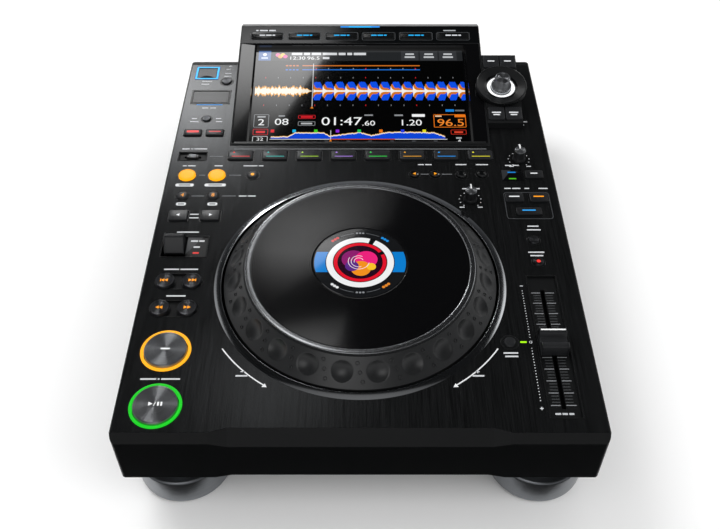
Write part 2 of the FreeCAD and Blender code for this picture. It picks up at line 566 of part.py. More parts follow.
def make_feet():
    """Four metal sleeves with a narrower neck, each round a rubber pad."""
    sleeves = []
    pads = []
    for index, (side, y) in enumerate(((-1, "$foot_front_y"), (1, "$foot_front_y"), (-1, "$foot_rear_y"),
                                       (1, "$foot_rear_y"))):
        x = "%d * $foot_half_span" % side
        sleeves.append(revolve("foot_sleeve_%d" % index, [
            ("0", "$pad_height"), ("$pad_radius + $gap", "$pad_height"), ("$pad_radius + $gap", "$pad_stand"),
            ("$foot_radius - $foot_chamfer", "$pad_stand"), ("$foot_radius", "$pad_stand + $foot_chamfer"),
            ("$foot_radius", "$foot_metal_top - $foot_chamfer"),
            ("$foot_radius - $foot_chamfer", "$foot_metal_top"), ("$foot_neck_radius", "$foot_metal_top"),
            ("$foot_neck_radius", TRAY_LOW), ("0", TRAY_LOW)], x, y))
        pads.append(rod("foot_pad_%d" % index, x, y, "0", "$pad_radius", "$pad_height"))
    node("foot_sleeves", group("foot_sleeves", *sleeves))
    node("foot_pads", group("foot_pads", *pads))


def make_display():
    """Housing that rises to the rear, its glass over the panel, and the row of keys above it."""
    housing = body("display_housing")
    run = "$screen_run"
    top_y, top_z = slope(run, "0")
    side = outline(housing, "housing_side", "YZ_Plane", [
        ("$screen_front_y", "$deck_height"), (top_y, top_z), ("$screen_back_y", top_z + " - $screen_back_drop"),
        ("$screen_back_y", top_z + " - $screen_back_drop - $screen_back_lip"),
        ("$screen_under_y", "$deck_height")])
    feature(housing, "Pad", "housing_wedge", side, Length="$screen_width").Midplane = True
    sill = frame_outline(housing, "sill_outline", "-$sill_half", "$sill_half", "$sill_front_y", "$sill_rear_y",
                         "$deck_height - $sill_depth")
    feature(housing, "Pad", "housing_sill", sill, Length="$sill_depth + 1")

    mouth = frame_outline(housing, "recess_mouth", "-$recess_half", "$recess_half", "$recess_low", "$recess_high")
    slanted(mouth, *slope("0", "0"))
    floor = frame_outline(housing, "recess_floor", "-$glass_half - $gap", "$glass_half + $gap",
                          "$glass_low - $gap", "$glass_high + $gap")
    slanted(floor, *slope("0", "-$recess_depth"))
    walls = housing.newObject("PartDesign::SubtractiveLoft", "screen_recess")
    walls.Profile = mouth
    walls.Sections = [floor]
    walls.Ruled = True
    seat = frame_outline(housing, "glass_seat_outline", "-$glass_half - $gap", "$glass_half + $gap",
                         "$glass_low - $gap", "$glass_high + $gap")
    slanted(seat, *slope("0", "-$recess_depth"))
    feature(housing, "Pocket", "glass_seat", seat, Length="$glass_thickness")
    through = frame_outline(housing, "panel_opening_outline", "-$lcd_half - $screen_ledge",
                            "$lcd_half + $screen_ledge", "$lcd_low - $screen_ledge", "$lcd_high + $screen_ledge")
    slanted(through, *slope("0", "-$recess_depth"))
    feature(housing, "Pocket", "panel_opening", through, Length="90")

    wells = []
    keys = []
    for index in range(TOP_KEY_COUNT):
        centre = "%.1f * $top_key_pitch" % (index - (TOP_KEY_COUNT - 1) / 2)
        for made, name, room in ((keys, "top_key_%d" % index, "0"), (wells, "top_key_well_%d" % index, "$gap")):
            depth = "$top_key_root" if made is keys else "$top_key_root + $press_travel + $gap"
            y, z = slope("$top_key_centre - $top_key_depth / 2 - %s" % room, "-(%s)" % depth)
            height = "%s + $top_key_rise" % depth if made is keys else "%s + 2" % depth
            made.append(tilt(box(name, "%s - $top_key_width / 2 - %s" % (centre, room), y, z,
                                 "$top_key_width + 2 * %s" % room, "$top_key_depth + 2 * %s" % room, height)))
    node("display_housing", cut("display_housing_finished", housing, *wells))
    node("screen_keys", group("screen_keys", *keys))

    glass_y, glass_z = slope("$glass_low", "-$recess_depth - $glass_thickness")
    glass = tilt(box("screen_glass", "-$glass_half", glass_y, glass_z, "2 * $glass_half",
                     "$glass_high - $glass_low", "$glass_thickness"))
    lcd_y, lcd_z = slope("$lcd_low", "-$recess_depth - $glass_thickness - $lcd_thickness")
    panel = tilt(box("screen_panel", "-$lcd_half", lcd_y, lcd_z, "2 * $lcd_half", "$lcd_high - $lcd_low",
                     "$lcd_thickness"))
    node("touch_screen", fuse("touch_screen", glass, panel))


def pod_slope(along, up):
    """Y and Z of a point on the pod's own sloping top."""
    return slope(along, up, "$pod_front_y", "($deck_height + $pod_rise)")


def pod_turned(name, corners):
    """A body turned about the selector's axis from corners of radius and height over the pod."""
    y, z = pod_slope("$pod_ring_run", "0")
    return tilt(revolve(name, corners, "$pod_ring_x", y, z))


def make_pod():
    """Raised pod beside the screen: dished ring, rotary selector and four keys."""
    block = body("pod_block")
    top_y, top_z = pod_slope("$pod_run", "0")
    side = outline(block, "pod_side", "YZ_Plane", [
        ("$pod_front_y", "$deck_height"), ("$pod_front_y", "$deck_height + $pod_rise"), (top_y, top_z),
        (top_y + " + $pod_back", top_z + " - $pod_back"), (top_y + " + $pod_back", "$deck_height")], "$pod_left")
    feature(block, "Pad", "pod_wedge", side, Length="$pod_right - $pod_left")
    ring = pod_turned("pod_ring", [
        ("$pod_ring_inner", "-$pod_ring_sink"), ("$pod_ring_outer", "-$pod_ring_sink"),
        ("$pod_ring_outer", "$pod_ring_high - 0.6"), ("$pod_ring_outer - 0.8", "$pod_ring_high"),
        ("$pod_ring_inner", "$pod_ring_low")])
    bore = pod_turned("selector_bore", [
        ("0", "-$selector_stem_length - $gap"), ("$selector_stem + $gap", "-$selector_stem_length - $gap"),
        ("$selector_stem + $gap", "1"), ("0", "1")])
    wells = []
    keys = []
    middle = "(($pod_left + $pod_right) / 2)"
    for row, low in (("near", "$pod_key_low"), ("far", "$pod_key_high")):
        for side, left in (("left", "%s - $pod_key_split / 2 - $pod_key_width" % middle),
                           ("right", "%s + $pod_key_split / 2" % middle)):
            for made, room in ((keys, "0"), (wells, "$gap")):
                depth = "$pod_key_root" if made is keys else "$pod_key_root + $press_travel + $gap"
                name = "pod_%s_%s_%s" % (row, side, "key" if made is keys else "well")
                y, z = pod_slope("%s - %s" % (low, room), "-(%s)" % depth)
                height = "%s + $pod_key_rise" % depth if made is keys else "%s + 3" % depth
                made.append(tilt(box(name, "%s - %s" % (left, room), y, z, "$pod_key_width + 2 * %s" % room,
                                     "$pod_key_length + 2 * %s" % room, height)))
    node("browse_pod", cut("browse_pod_finished", fuse("pod_with_ring", block, ring), bore, *wells))
    node("browse_keys", group("browse_keys", *keys))

    knob = pod_turned("selector_turned", [
        ("0", "-$selector_stem_length"), ("$selector_stem", "-$selector_stem_length"), ("$selector_stem", "$gap"),
        ("$selector_radius", "$gap"), ("$selector_radius", "$gap + $selector_foot"),
        ("$selector_top_radius", "$selector_foot + 1.5"), ("$selector_top_radius", "$selector_height - 0.6"),
        ("$selector_top_radius - 0.6", "$selector_height"), ("0", "$selector_height")])
    tooth = outline(knob, "tooth_outline", "XY_Plane", [
        ("$selector_radius - 0.4", "-$selector_tooth / 2"), ("$selector_radius + 0.7", "-$selector_tooth / 3"),
        ("$selector_radius + 0.7", "$selector_tooth / 3"), ("$selector_radius - 0.4", "$selector_tooth / 2")],
        "$gap")
    first = feature(knob, "Pad", "selector_tooth_first", tooth, Length="$selector_foot - 0.4")
    doc.recompute()
    teeth = knob.newObject("PartDesign::PolarPattern", "selector_tooth_ring")
    teeth.Originals = [first]
    teeth.Axis = (plane(knob, "Z_Axis"), [""])
    teeth.Angle = 360.0
    bind(teeth, Occurrences="$selector_teeth")
    knob.Tip = teeth
    node("browse_knob", knob)


def pan(name, left, right, front, rear, floor="$pan_floor"):
    """A shallow moulded insert with a thin rim that stands just proud of the deck plate."""
    block = slab(name + "_block", left, right, front, rear, "$deck_height - $pan_recess - %s" % floor,
                 "$deck_height + $pan_rim_rise")
    hollow = slab(name + "_hollow", left + " + $pan_rim", right + " - $pan_rim", front + " + $pan_rim",
                  rear + " - $pan_rim", "$deck_height - $pan_recess", "$deck_height + 1")
    plate_hole(name + "_plate_hole", left, right, front, rear)
    return block, hollow


def make_fader():
    """Fader insert with its slot, the closed track below it, and the sliding cap on its blade."""
    block, hollow = pan("fader_pan", "$fader_pan_left", "$fader_pan_right", "$fader_pan_front",
                        "$fader_pan_rear", "$fader_pan_thickness")
    under = "$deck_height - $pan_recess - $fader_pan_thickness"
    slot = slab("fader_slot", "$fader_x - $slot_width / 2", "$fader_x + $slot_width / 2",
                "$fader_y - $slot_length / 2", "$fader_y + $slot_length / 2", under + " - 1", "$deck_height")
    reach = "$slot_length / 2 + $track_extra"
    track = slab("fader_track_block", "$fader_x - $track_width / 2", "$fader_x + $track_width / 2",
                 "$fader_y - (%s)" % reach, "$fader_y + (%s)" % reach, under + " - $track_depth", under)
    channel = slab("fader_track_channel", "$fader_x - $track_width / 2 + $track_wall",
                   "$fader_x + $track_width / 2 - $track_wall", "$fader_y - (%s) + $track_wall" % reach,
                   "$fader_y + (%s) - $track_wall" % reach, under + " - $track_depth + $track_wall",
                   under + " + 0.01")
    insert = cut("fader_insert", block, hollow, slot)
    inserts.extend((insert, cut("fader_track", track, channel)))

    cap = body("fader_cap")
    low = "$deck_height - $pan_recess + $fader_cap_lift"
    top = "$deck_height + $fader_cap_rise"
    half = "$fader_cap_length / 2"
    side = outline(cap, "fader_cap_side", "YZ_Plane", [
        ("-%s" % half, low), ("%s" % half, low), ("%s" % half, low + " + 3"), ("%s - 1.2" % half, top),
        ("%s - 5.6" % half, top), ("%s - 7.4" % half, "$deck_height + $fader_valley"),
        ("-%s + 7.4" % half, "$deck_height + $fader_valley"), ("-%s + 5.6" % half, top),
        ("-%s + 1.2" % half, top), ("-%s" % half, low + " + 3")])
    feature(cap, "Pad", "fader_cap_block", side, Length="$fader_cap_width").Midplane = True
    at(cap, "$fader_x", "$fader_y")
    blade = box("fader_blade", "$fader_x - $fader_blade / 2", "$fader_y - $fader_blade_length / 2",
                low + " - $fader_blade_drop", "$fader_blade", "$fader_blade_length", "$fader_blade_drop")
    node("tempo_fader", fuse("tempo_fader", cap, blade))


def make_inserts():
    """Inserts of the slide switch, the direction lever and the two pairs of search buttons."""
    switch_block, switch_hollow = pan(
        "switch_pan", "($switch_x - $switch_pan_length / 2)", "($switch_x + $switch_pan_length / 2)",
        "($switch_y - $switch_pan_width / 2)", "($switch_y + $switch_pan_width / 2)")
    switch_slot = box("switch_slot", "$switch_x - $switch_travel - 1.5 - $gap", "$switch_y - 1 - $gap",
                      "$deck_height - 8", "2 * $switch_travel + 3 + 2 * $gap", "2 + 2 * $gap", "8")
    switch_pan = cut("switch_insert", switch_block, switch_hollow, switch_slot)

    dir_block, dir_hollow = pan("direction_pan", "$dir_left", "$dir_right", "$dir_front", "$dir_rear", "6.0")
    lever_hole = slab("lever_hole", "$dir_left + $pan_rim", "$dir_split - $gap", "$dir_front + $pan_rim",
                      "$dir_rear - $pan_rim", "$deck_height - 9", "$deck_height + 1")
    window = slab("direction_window", "$dir_split", "$dir_right - $pan_rim", "$dir_front + $pan_rim",
                  "$dir_rear - $pan_rim", "$deck_height - $pan_recess - 1", "$deck_height - $window_drop")
    direction = fuse("direction_insert", cut("direction_frame", dir_block, dir_hollow, lever_hole), window)

    ovals = []
    for name, y in (("track_search", "$track_search_y"), ("fast_search", "$fast_search_y")):
        ends = "$search_oval_length / 2 - $search_oval_width / 2"
        shells = []
        for part, inset, low, high in (
                ("outer", "0", "$deck_height - $pan_recess - $pan_floor", "$deck_height + $pan_rim_rise"),
                ("inner", "$pan_rim", "$deck_height - $pan_recess", "$deck_height + 1"),
                ("cutter", "0", UNDER_PLATE + " - 1", "$deck_height + 1")):
            label = "%s_%s" % (name, part)
            middle = slab(label + "_middle", "$search_x - (%s)" % ends, "$search_x + (%s)" % ends,
                          "%s - $search_oval_width / 2 + %s" % (y, inset),
                          "%s + $search_oval_width / 2 - %s" % (y, inset), low, high)
            caps = [rod("%s_%s" % (label, hand), "$search_x %s (%s)" % (sign, ends), y, low,
                        "$search_oval_width / 2 - %s" % inset, "(%s) - (%s)" % (high, low))
                    for hand, sign in (("left", "-"), ("right", "+"))]
            shells.append(fuse(label, middle, *caps))
        deck_cutters.append(shells.pop())
        holes = []
        for hand, sign, button in (("left", "-", "back"), ("right", "+", "next")):
            x = "($search_x %s $search_pitch / 2)" % sign
            label = "%s_%s_button" % (name, button)
            holes.append(rod(label + "_hole", x, y, "$deck_height - 8", "$search_radius + $gap", "10"))
            cap = rod(label + "_cap", x, y, EAR_LOW + " - 1.6", "$search_radius",
                      "$deck_height + 1.8 - (%s) + 1.6" % EAR_LOW)
            stem = box(label + "_stem", "%s - $stem_side / 2" % x, "%s - $stem_side / 2" % y, STEM_FOOT,
                       "$stem_side", "$stem_side", "(%s) - 1.6 - (%s)" % (EAR_LOW, STEM_FOOT))
            node(label, fuse(label, cap, stem))
            switch_places.append((x, y))
        ovals.append(cut(name + "_insert", shells[0], shells[1], *holes))
    node("control_inserts", group("control_inserts", switch_pan, direction, *(ovals + inserts)))


def make_slide_switch():
    """Knob of the slide switch, with the stem that goes through its insert."""
    knob = box("switch_knob", "$switch_x - $switch_knob_length / 2", "$switch_y - $switch_knob_width / 2",
               "$deck_height - $pan_recess + $ear_gap", "$switch_knob_length", "$switch_knob_width",
               "$pan_recess - $ear_gap + $switch_knob_rise")
    stem = box("switch_stem", "$switch_x - 1.5", "$switch_y - 1", "$deck_height - 7", "3", "2",
               "7 - $pan_recess + $ear_gap")
    node("call_switch", fuse("call_switch", knob, stem))


def make_direction_lever():
    """Paddle with a raked front face and a round boss at its pivot."""
    lever = body("lever_paddle")
    axis = "$deck_height - $lever_axis_drop"
    base = "$lever_base / 2"
    side = outline(lever, "lever_side", "YZ_Plane", [
        ("-%s + 2" % base, axis + " + 2"), ("%s - 2" % base, axis + " + 2"), (base, "$deck_height + 0.6"),
        ("$lever_top / 2 + $lever_back_shift", "$deck_height + $lever_rise - 1"),
        ("$lever_top / 2 + $lever_back_shift - 1", "$deck_height + $lever_rise"),
        ("-$lever_top / 2 + $lever_back_shift", "$deck_height + $lever_rise"),
        ("-%s + 1" % base, "$deck_height + 1.6"), ("-%s" % base, "$deck_height + 0.2")])
    feature(lever, "Pad", "lever_blade", side, Length="$lever_width").Midplane = True
    at(lever, "$lever_x", "$lever_y")
    boss = rod("lever_boss", "$lever_x - $lever_width / 2", "$lever_y", axis, "$lever_boss", "$lever_width")
    boss.Placement = FreeCAD.Placement(boss.Placement.Base, FreeCAD.Rotation(FreeCAD.Vector(0, 1, 0), 90))
    node("direction_lever", fuse("direction_lever", lever, boss))


def make_knob(name):
    """A small rotary knob with a pointer fin and a stem through the plate."""
    x, y = "$%s_x" % name, "$%s_y" % name
    cone = taper(name + "_cone", x, y, "$deck_height + $gap", "$knob_radius", "$knob_top_radius", "$knob_height")
    fin = box(name + "_fin", "%s - $pointer_width / 2" % x, y, "$deck_height + $gap", "$pointer_width",
              "$pointer_reach", "$knob_height + 0.8")
    stem = rod(name + "_stem", x, y, "$deck_height - $knob_stem_drop", "$knob_stem", "$knob_stem_drop + $gap")
    node(name, fuse(name, cone, fin, stem))
    deck_cutters.append(rod(name + "_hole", x, y, UNDER_PLATE + " - 1", "$knob_stem + $gap",
                            "$plate_thickness + 2"))


def make_storage_ports():
    """Lit USB well with its socket, card well with its slot, and the two hinged covers."""
    top = "$deck_height + $usb_rise"
    floor = "$deck_height - $usb_depth"
    wall = "$usb_wall"
    frame = slab("usb_frame", "$usb_left", "$usb_right", "$usb_front", "$usb_rear", floor, top)
    well = slab("usb_well", "$usb_left + " + wall, "$usb_right - " + wall, "$usb_front + " + wall,
                "$usb_rear - " + wall, floor + " + $usb_floor", top + " + 1")
    plate_hole("usb_plate_hole", "$usb_left", "$usb_right", "$usb_front", "$usb_rear")
    x = "(($usb_left + $usb_right) / 2)"
    y = "(($usb_front + $usb_rear) / 2)"
    shell = box("usb_shell", "%s - $usb_shell_width / 2" % x, "%s - $usb_shell_depth / 2" % y,
                floor + " + $usb_floor - 0.5", "$usb_shell_width", "$usb_shell_depth", "$usb_shell_height + 0.5")
    mouth = box("usb_mouth", "%s - $usb_shell_width / 2 + $usb_shell_wall" % x,
                "%s - $usb_shell_depth / 2 + $usb_shell_wall" % y, floor + " + $usb_floor",
                "$usb_shell_width - 2 * $usb_shell_wall", "$usb_shell_depth - 2 * $usb_shell_wall",
                "$usb_shell_height + 1")
    usb = cut("usb_port", fuse("usb_walls", cut("usb_box", frame, well), shell), mouth)

    card_floor = "$deck_height - $card_depth"
    card_box = slab("card_box", "$card_left", "$card_right", "$card_front", "$card_rear", card_floor,
                    "$deck_height + 0.1")
    card_well = slab("card_well", "$card_left + $card_wall", "$card_right - $card_wall",
                     "$card_front + $card_wall", "$card_rear - $card_wall", card_floor + " + $card_floor",
                     "$deck_height + 1")
    card_slot = slab("card_slot", "$card_left + 6", "$card_right - 6",
                     "($card_front + $card_rear) / 2 - $card_slot / 2",
                     "($card_front + $card_rear) / 2 + $card_slot / 2", card_floor + " - 1", "$deck_height")
    plate_hole("card_plate_hole", "$card_left", "$card_right", "$card_front", "$card_rear")
    node("storage_ports", group("storage_ports", usb, cut("card_port", card_box, card_well, card_slot)))

    rear = "$usb_rear - %s - $flap_hinge_inset + $flap_tail" % wall
    flap = slab("flap_sheet", "$usb_left + %s + $gap" % wall, "$usb_right - %s - $gap" % wall,
                "$usb_front + %s + $gap" % wall, rear, "$deck_height - $flap_thickness", "$deck_height")
    notch = rod("flap_notch", x, "$usb_front + %s + $gap" % wall, "$deck_height - 4", "$notch_radius", "8")
    node("usb_flap", cut("usb_flap", flap, notch))
    door = slab("door_sheet", "$card_left + $card_wall + $gap", "$card_right - $card_wall - $gap",
                "$card_front + $card_wall + $door_front_space",
                "$card_rear - $card_wall - $flap_hinge_inset + $flap_tail", "$deck_height - $flap_thickness",
                "$deck_height")
    node("card_door", door)


def make_board():
    """Circuit board that follows the controls round the jog wheel, with a switch under each button."""
    low = "$deck_height - $board_drop"
    sheet_block = slab("board_sheet", "-%s + $board_side" % INNER_HALF, "%s - $board_side" % INNER_HALF,
                       PLATE_FRONT + " + $board_front_margin", "$board_rear_y", low, BOARD_TOP)
    jog_hole = rod("board_jog_hole", "0", "$jog_y", low + " - 1", "$ring_skirt + $board_jog_clear", "5")
    fader_hole = slab("board_fader_hole", "$fader_x - $track_width / 2 - 1", "$fader_x + $track_width / 2 + 1",
                      "$fader_y - $slot_length / 2 - $track_extra - 1",
                      "$fader_y + $slot_length / 2 + $track_extra + 1", low + " - 1", BOARD_TOP + " + 1")
    lever_room = slab("board_lever_hole", "$dir_left + 1", "$dir_split", "$dir_front + 1", "$dir_rear - 1",
                      low + " - 1", BOARD_TOP + " + 1")
    front_trim = slab("board_front_trim", "-$bevel_side_half", "$bevel_side_half", "$body_front",
                      "$jog_y", low + " - 1", BOARD_TOP + " + 1")
    main = cut("board_outline", sheet_block, jog_hole, fader_hole, lever_room, front_trim)
    switches = []
    for index, (x, y) in enumerate(switch_places):
        switches.append(box("switch_%d" % index, "%s - $switch_side / 2" % x, "%s - $switch_side / 2" % y,
                            BOARD_TOP, "$switch_side", "$switch_side", "$switch_height"))
    posts = [rod("standoff_%d_%d" % (side, row), "%d * $standoff_x" % side, y, BOARD_TOP, "$standoff_radius",
                 "(%s) - (%s)" % (UNDER_PLATE, BOARD_TOP))
             for side in (-1, 1) for row, y in enumerate(("$standoff_front_y", "$standoff_rear_y"))]
    return main, switches, posts


def make_left_board(main, switches, posts):
    """The left rear extension of the board, under the storage ports' buttons."""
    low = "$deck_height - $board_drop"
    arm = slab("board_arm", "-%s + $board_side" % INNER_HALF, "-$sill_half - 3", "$board_rear_y - 1",
               "$card_front - 2", low, BOARD_TOP)
    stop_arm = slab("board_stop_arm", "$usb_right + 1", "-$sill_half - 3", "$card_front - 3",
                    "$usb_rear - 4", low, BOARD_TOP)
    card_room = slab("board_card_room", "$card_left - 1", "$card_right + 1", "$card_front - 1",
                     "$card_rear + 1", low + " - 1", BOARD_TOP + " + 1")
    arms = cut("board_arms", fuse("board_arms_whole", arm, stop_arm), card_room)
    node("control_board", fuse("control_board", main, arms, *(switches + posts)))


def make_tray():
    """Folded metal tray: bottom, low side flanges and the rear panel with its socket cut-outs."""
    rear = "$body_rear - $case_wall"
    front = "$body_front + $case_wall"
    bottom = slab("tray_bottom", "-" + INNER_HALF, INNER_HALF, front, rear, TRAY_LOW, TRAY_TOP)
    relief = slab("tray_chin_relief", "-$bevel_side_half - 1", "$bevel_side_half + 1", front + " - 1",
                  front + " + 12", TRAY_LOW + " - 1", TRAY_TOP + " + 1")
    step = slab("tray_chin_step", "-$bevel_side_half - 1", "$bevel_side_half + 1", front,
                front + " + 12", TRAY_TOP + " + $chin_lift - $sheet", TRAY_TOP + " + $chin_lift")
    riser = slab("tray_chin_riser", "-$bevel_side_half - 1", "$bevel_side_half + 1", front + " + 12",
                 front + " + 12 + $sheet", TRAY_LOW, TRAY_TOP + " + $chin_lift")
    left = slab("tray_left", "-" + INNER_HALF, "-%s + $sheet" % INNER_HALF, front + " + 20", rear, TRAY_LOW,
                TRAY_TOP + " + $tray_flange")
    right = slab("tray_right", INNER_HALF + " - $sheet", INNER_HALF, front + " + 20", rear, TRAY_LOW,
                 TRAY_TOP + " + $tray_flange")
    panel = slab("rear_panel", "-" + INNER_HALF, INNER_HALF, rear + " - $sheet", rear, TRAY_LOW,
                 TRAY_LOW + " + $rear_panel_height")
    holes = [box(name + "_panel_hole", "$%s_x - $%s_width / 2 - $%s" % (name, name, wall), rear + " - 3",
                 "$socket_height - $%s_height / 2 - $%s" % (name, wall), "$%s_width + 2 * $%s" % (name, wall),
                 "6", "$%s_height + 2 * $%s" % (name, wall))
             for name, wall in (("inlet", "inlet_wall"), ("power", "gap"))]
    holes.append(slab("port_panel_hole", PORT_BLOCK_LEFT, PORT_BLOCK_RIGHT, rear + " - 3", rear + " + 3",
                      PORT_BLOCK_LOW, PORT_BLOCK_TOP))
    folded = fuse("tray_folded", cut("tray_flat", bottom, relief), step, riser, left, right, panel)
    node("chassis_tray", cut("chassis_tray", folded, *holes))


def make_sockets():
    """Mains inlet, network and computer sockets, and the phono sockets on the rear panel."""
    face = "$body_rear - $case_wall"
    made = []
    shell = box("inlet_shell", "$inlet_x - $inlet_width / 2 - $inlet_wall", face + " - $inlet_depth",
                "$socket_height - $inlet_height / 2 - $inlet_wall", "$inlet_width + 2 * $inlet_wall",
                "$inlet_depth + $port_rise", "$inlet_height + 2 * $inlet_wall")
    block = slab("port_block", PORT_BLOCK_LEFT, PORT_BLOCK_RIGHT, face + " - $net_depth", face + " + $port_rise",
                 PORT_BLOCK_LOW, PORT_BLOCK_TOP)
    mouths = {name: box(name + "_mouth", "$%s_x - $%s_width / 2" % (name, name),
                        "%s - $%s_depth + $port_floor" % (face, name), "$socket_height - $%s_height / 2" % name,
                        "$%s_width" % name, "$%s_depth + 3" % name, "$%s_height" % name)
              for name in ("inlet", "net", "link")}
    made.append(cut("inlet_socket", shell, mouths["inlet"]))
    made.append(cut("port_socket", block, mouths["net"], mouths["link"]))
    for name in ("phono_left", "phono_right", "phono_digital"):
        parts = []
        for part, start, radius, length in (("flange", face, "$phono_flange", "$phono_flange_thickness"),
                                            ("sleeve", face, "$phono_radius", "$phono_length"),
                                            ("bore", face + " + 1.5", "$phono_bore", "$phono_length + 2")):
            piece = rod("%s_%s" % (name, part), "$%s_x" % name, start, "$socket_height", radius, length)
            piece.Placement = FreeCAD.Placement(piece.Placement.Base,
                                                FreeCAD.Rotation(FreeCAD.Vector(1, 0, 0), -90))
            parts.append(piece)
        made.append(cut(name + "_socket", fuse(name + "_body", parts[0], parts[1]), parts[2]))
    shroud = box("power_shroud", "$power_x - $power_width / 2 - $gap - $power_shroud",
                 face + " - $sheet - $power_root - $power_travel - 1",
                 "$socket_height - $power_height / 2 - $gap - $power_shroud",
                 "$power_width + 2 * $gap + 2 * $power_shroud", "$power_root + $power_travel + 1",
                 "$power_height + 2 * $gap + 2 * $power_shroud")
    hollow = box("power_hollow", "$power_x - $power_width / 2 - $gap",
                 face + " - $sheet - $power_root - $power_travel - $gap", "$socket_height - $power_height / 2 - $gap",
                 "$power_width + 2 * $gap", "$power_root + $power_travel + 5", "$power_height + 2 * $gap")
    made.append(cut("power_switch_shell", shroud, hollow))
    node("rear_sockets", group("rear_sockets", *made))
    cap = box("power_cap", "$power_x - $power_width / 2", face + " - $sheet - $power_root",
              "$socket_height - $power_height / 2", "$power_width", "$sheet + $power_root + $power_rise",
              "$power_height")
    node("power_button", cap)


def make_supply():
    """Power supply: its board and parts in a folded cage on the tray."""
    cage = slab("supply_cage", "$supply_left", "$supply_right", "$supply_front", "$supply_rear", TRAY_TOP,
                TRAY_TOP + " + $supply_height")
    room = slab("supply_room", "$supply_left + $supply_sheet", "$supply_right - $supply_sheet",
                "$supply_front - 1", "$supply_rear + 1", TRAY_TOP + " + $supply_sheet",
                TRAY_TOP + " + $supply_height - $supply_sheet")
    transformer = slab("supply_transformer", "$supply_left + 14", "$supply_left + 44", "$supply_front + 16",
                       "$supply_front + 44", TRAY_TOP + " + $supply_sheet - 0.2", TRAY_TOP + " + 22")
    capacitor = rod("supply_capacitor", "$supply_right - 20", "$supply_front + 24",
                    TRAY_TOP + " + $supply_sheet - 0.2", "9", "20")
    node("power_supply", fuse("power_supply", cut("supply_shell", cage, room), transformer, capacitor))


def make_screws():
    """Pan-head screws with a straight slot, under the edges of the tray."""
    screws = []
    for side in (-1, 1):
        for row in range(SCREW_ROWS):
            y = "($screw_front_y + %d * ($screw_rear_y - $screw_front_y) / %d)" % (row, SCREW_ROWS - 1)
            x = "%d * $screw_half_span" % side
            label = "screw_%d_%d" % (side, row)
            head = rod(label + "_head", x, y, TRAY_LOW + " - $screw_height", "$screw_radius", "$screw_height")
            slot = box(label + "_slot", x + " - $screw_radius - 1", y + " - $screw_slot / 2",
                       TRAY_LOW + " - $screw_height - 1", "2 * $screw_radius + 2", "$screw_slot",
                       "1 + $screw_height / 2")
            screws.append(cut(label, head, slot))
    node("case_screws", group("case_screws", *screws))


def check_and_write():
    """Stop on any failed object or bad shape, then write one file a piece."""
    broken = [item.Name for item in doc.Objects if "Invalid" in item.State or "Error" in item.State]
    for name, thing in nodes.items():
        if thing.Shape.isNull() or not thing.Shape.isValid() or not thing.Shape.Solids:
            broken.append(name)
    if broken:
        raise RuntimeError("failed objects: " + ", ".join(broken))
    os.makedirs("parts", exist_ok=True)
    for name, thing in nodes.items():
        thing.Shape.exportStep("parts/%s.step" % name)
        print("%-26s %2d solids %11.1f mm3" % (name, len(thing.Shape.Solids), thing.Shape.Volume))


write_sizes()
make_top_case()
make_caps()
make_big_buttons()
make_jog()
make_feet()
make_display()
make_pod()
make_fader()
make_inserts()
make_slide_switch()
make_direction_lever()
make_knob("jog_adjust")
make_knob("speed_knob")
make_storage_ports()
make_left_board(*make_board())
make_tray()
make_sockets()
make_supply()
make_screws()
make_deck_plate()
doc.recompute()
check_and_write()
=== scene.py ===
"""Looks of the tabletop media player deck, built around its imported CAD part.

Every length is in millimetres until a mesh is made; Blender's own unit is the metre. X points to the
right, Y to the rear and Z up, with the origin on the table under the middle of the body.
"""

import logging
import math
from collections.abc import Iterable, Sequence
from dataclasses import dataclass, field
from enum import Enum

import bpy
import numpy as np
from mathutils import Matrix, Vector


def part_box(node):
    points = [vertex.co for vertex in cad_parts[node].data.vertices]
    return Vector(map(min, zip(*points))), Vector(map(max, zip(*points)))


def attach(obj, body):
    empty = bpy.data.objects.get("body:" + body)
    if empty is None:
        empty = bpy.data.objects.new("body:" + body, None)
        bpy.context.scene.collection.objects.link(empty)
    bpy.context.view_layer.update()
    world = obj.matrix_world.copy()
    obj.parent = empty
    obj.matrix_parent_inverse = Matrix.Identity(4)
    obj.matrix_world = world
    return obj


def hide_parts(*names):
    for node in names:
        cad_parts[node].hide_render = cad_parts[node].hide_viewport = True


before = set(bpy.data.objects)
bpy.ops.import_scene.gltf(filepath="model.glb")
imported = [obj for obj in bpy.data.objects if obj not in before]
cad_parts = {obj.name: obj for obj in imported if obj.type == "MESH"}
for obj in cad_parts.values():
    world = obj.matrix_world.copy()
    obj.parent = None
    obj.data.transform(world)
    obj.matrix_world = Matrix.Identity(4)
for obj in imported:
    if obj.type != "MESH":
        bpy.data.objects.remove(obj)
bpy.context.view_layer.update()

logging.basicConfig(level=logging.INFO, format="%(message)s")
log = logging.getLogger("scene")

METRE = 0.001
DECK = 88.0
JOG = (0.0, -86.2)
FULL_TURN = 2 * math.pi


class Grain(Enum):
    """Fine texture that a finish carries."""

    NONE = "none"
    MOULDED = "moulded"
    BRUSHED = "brushed"
    SPUN = "spun"
    RUBBER = "rubber"
    TINTED = "tinted"
    LIT = "lit"


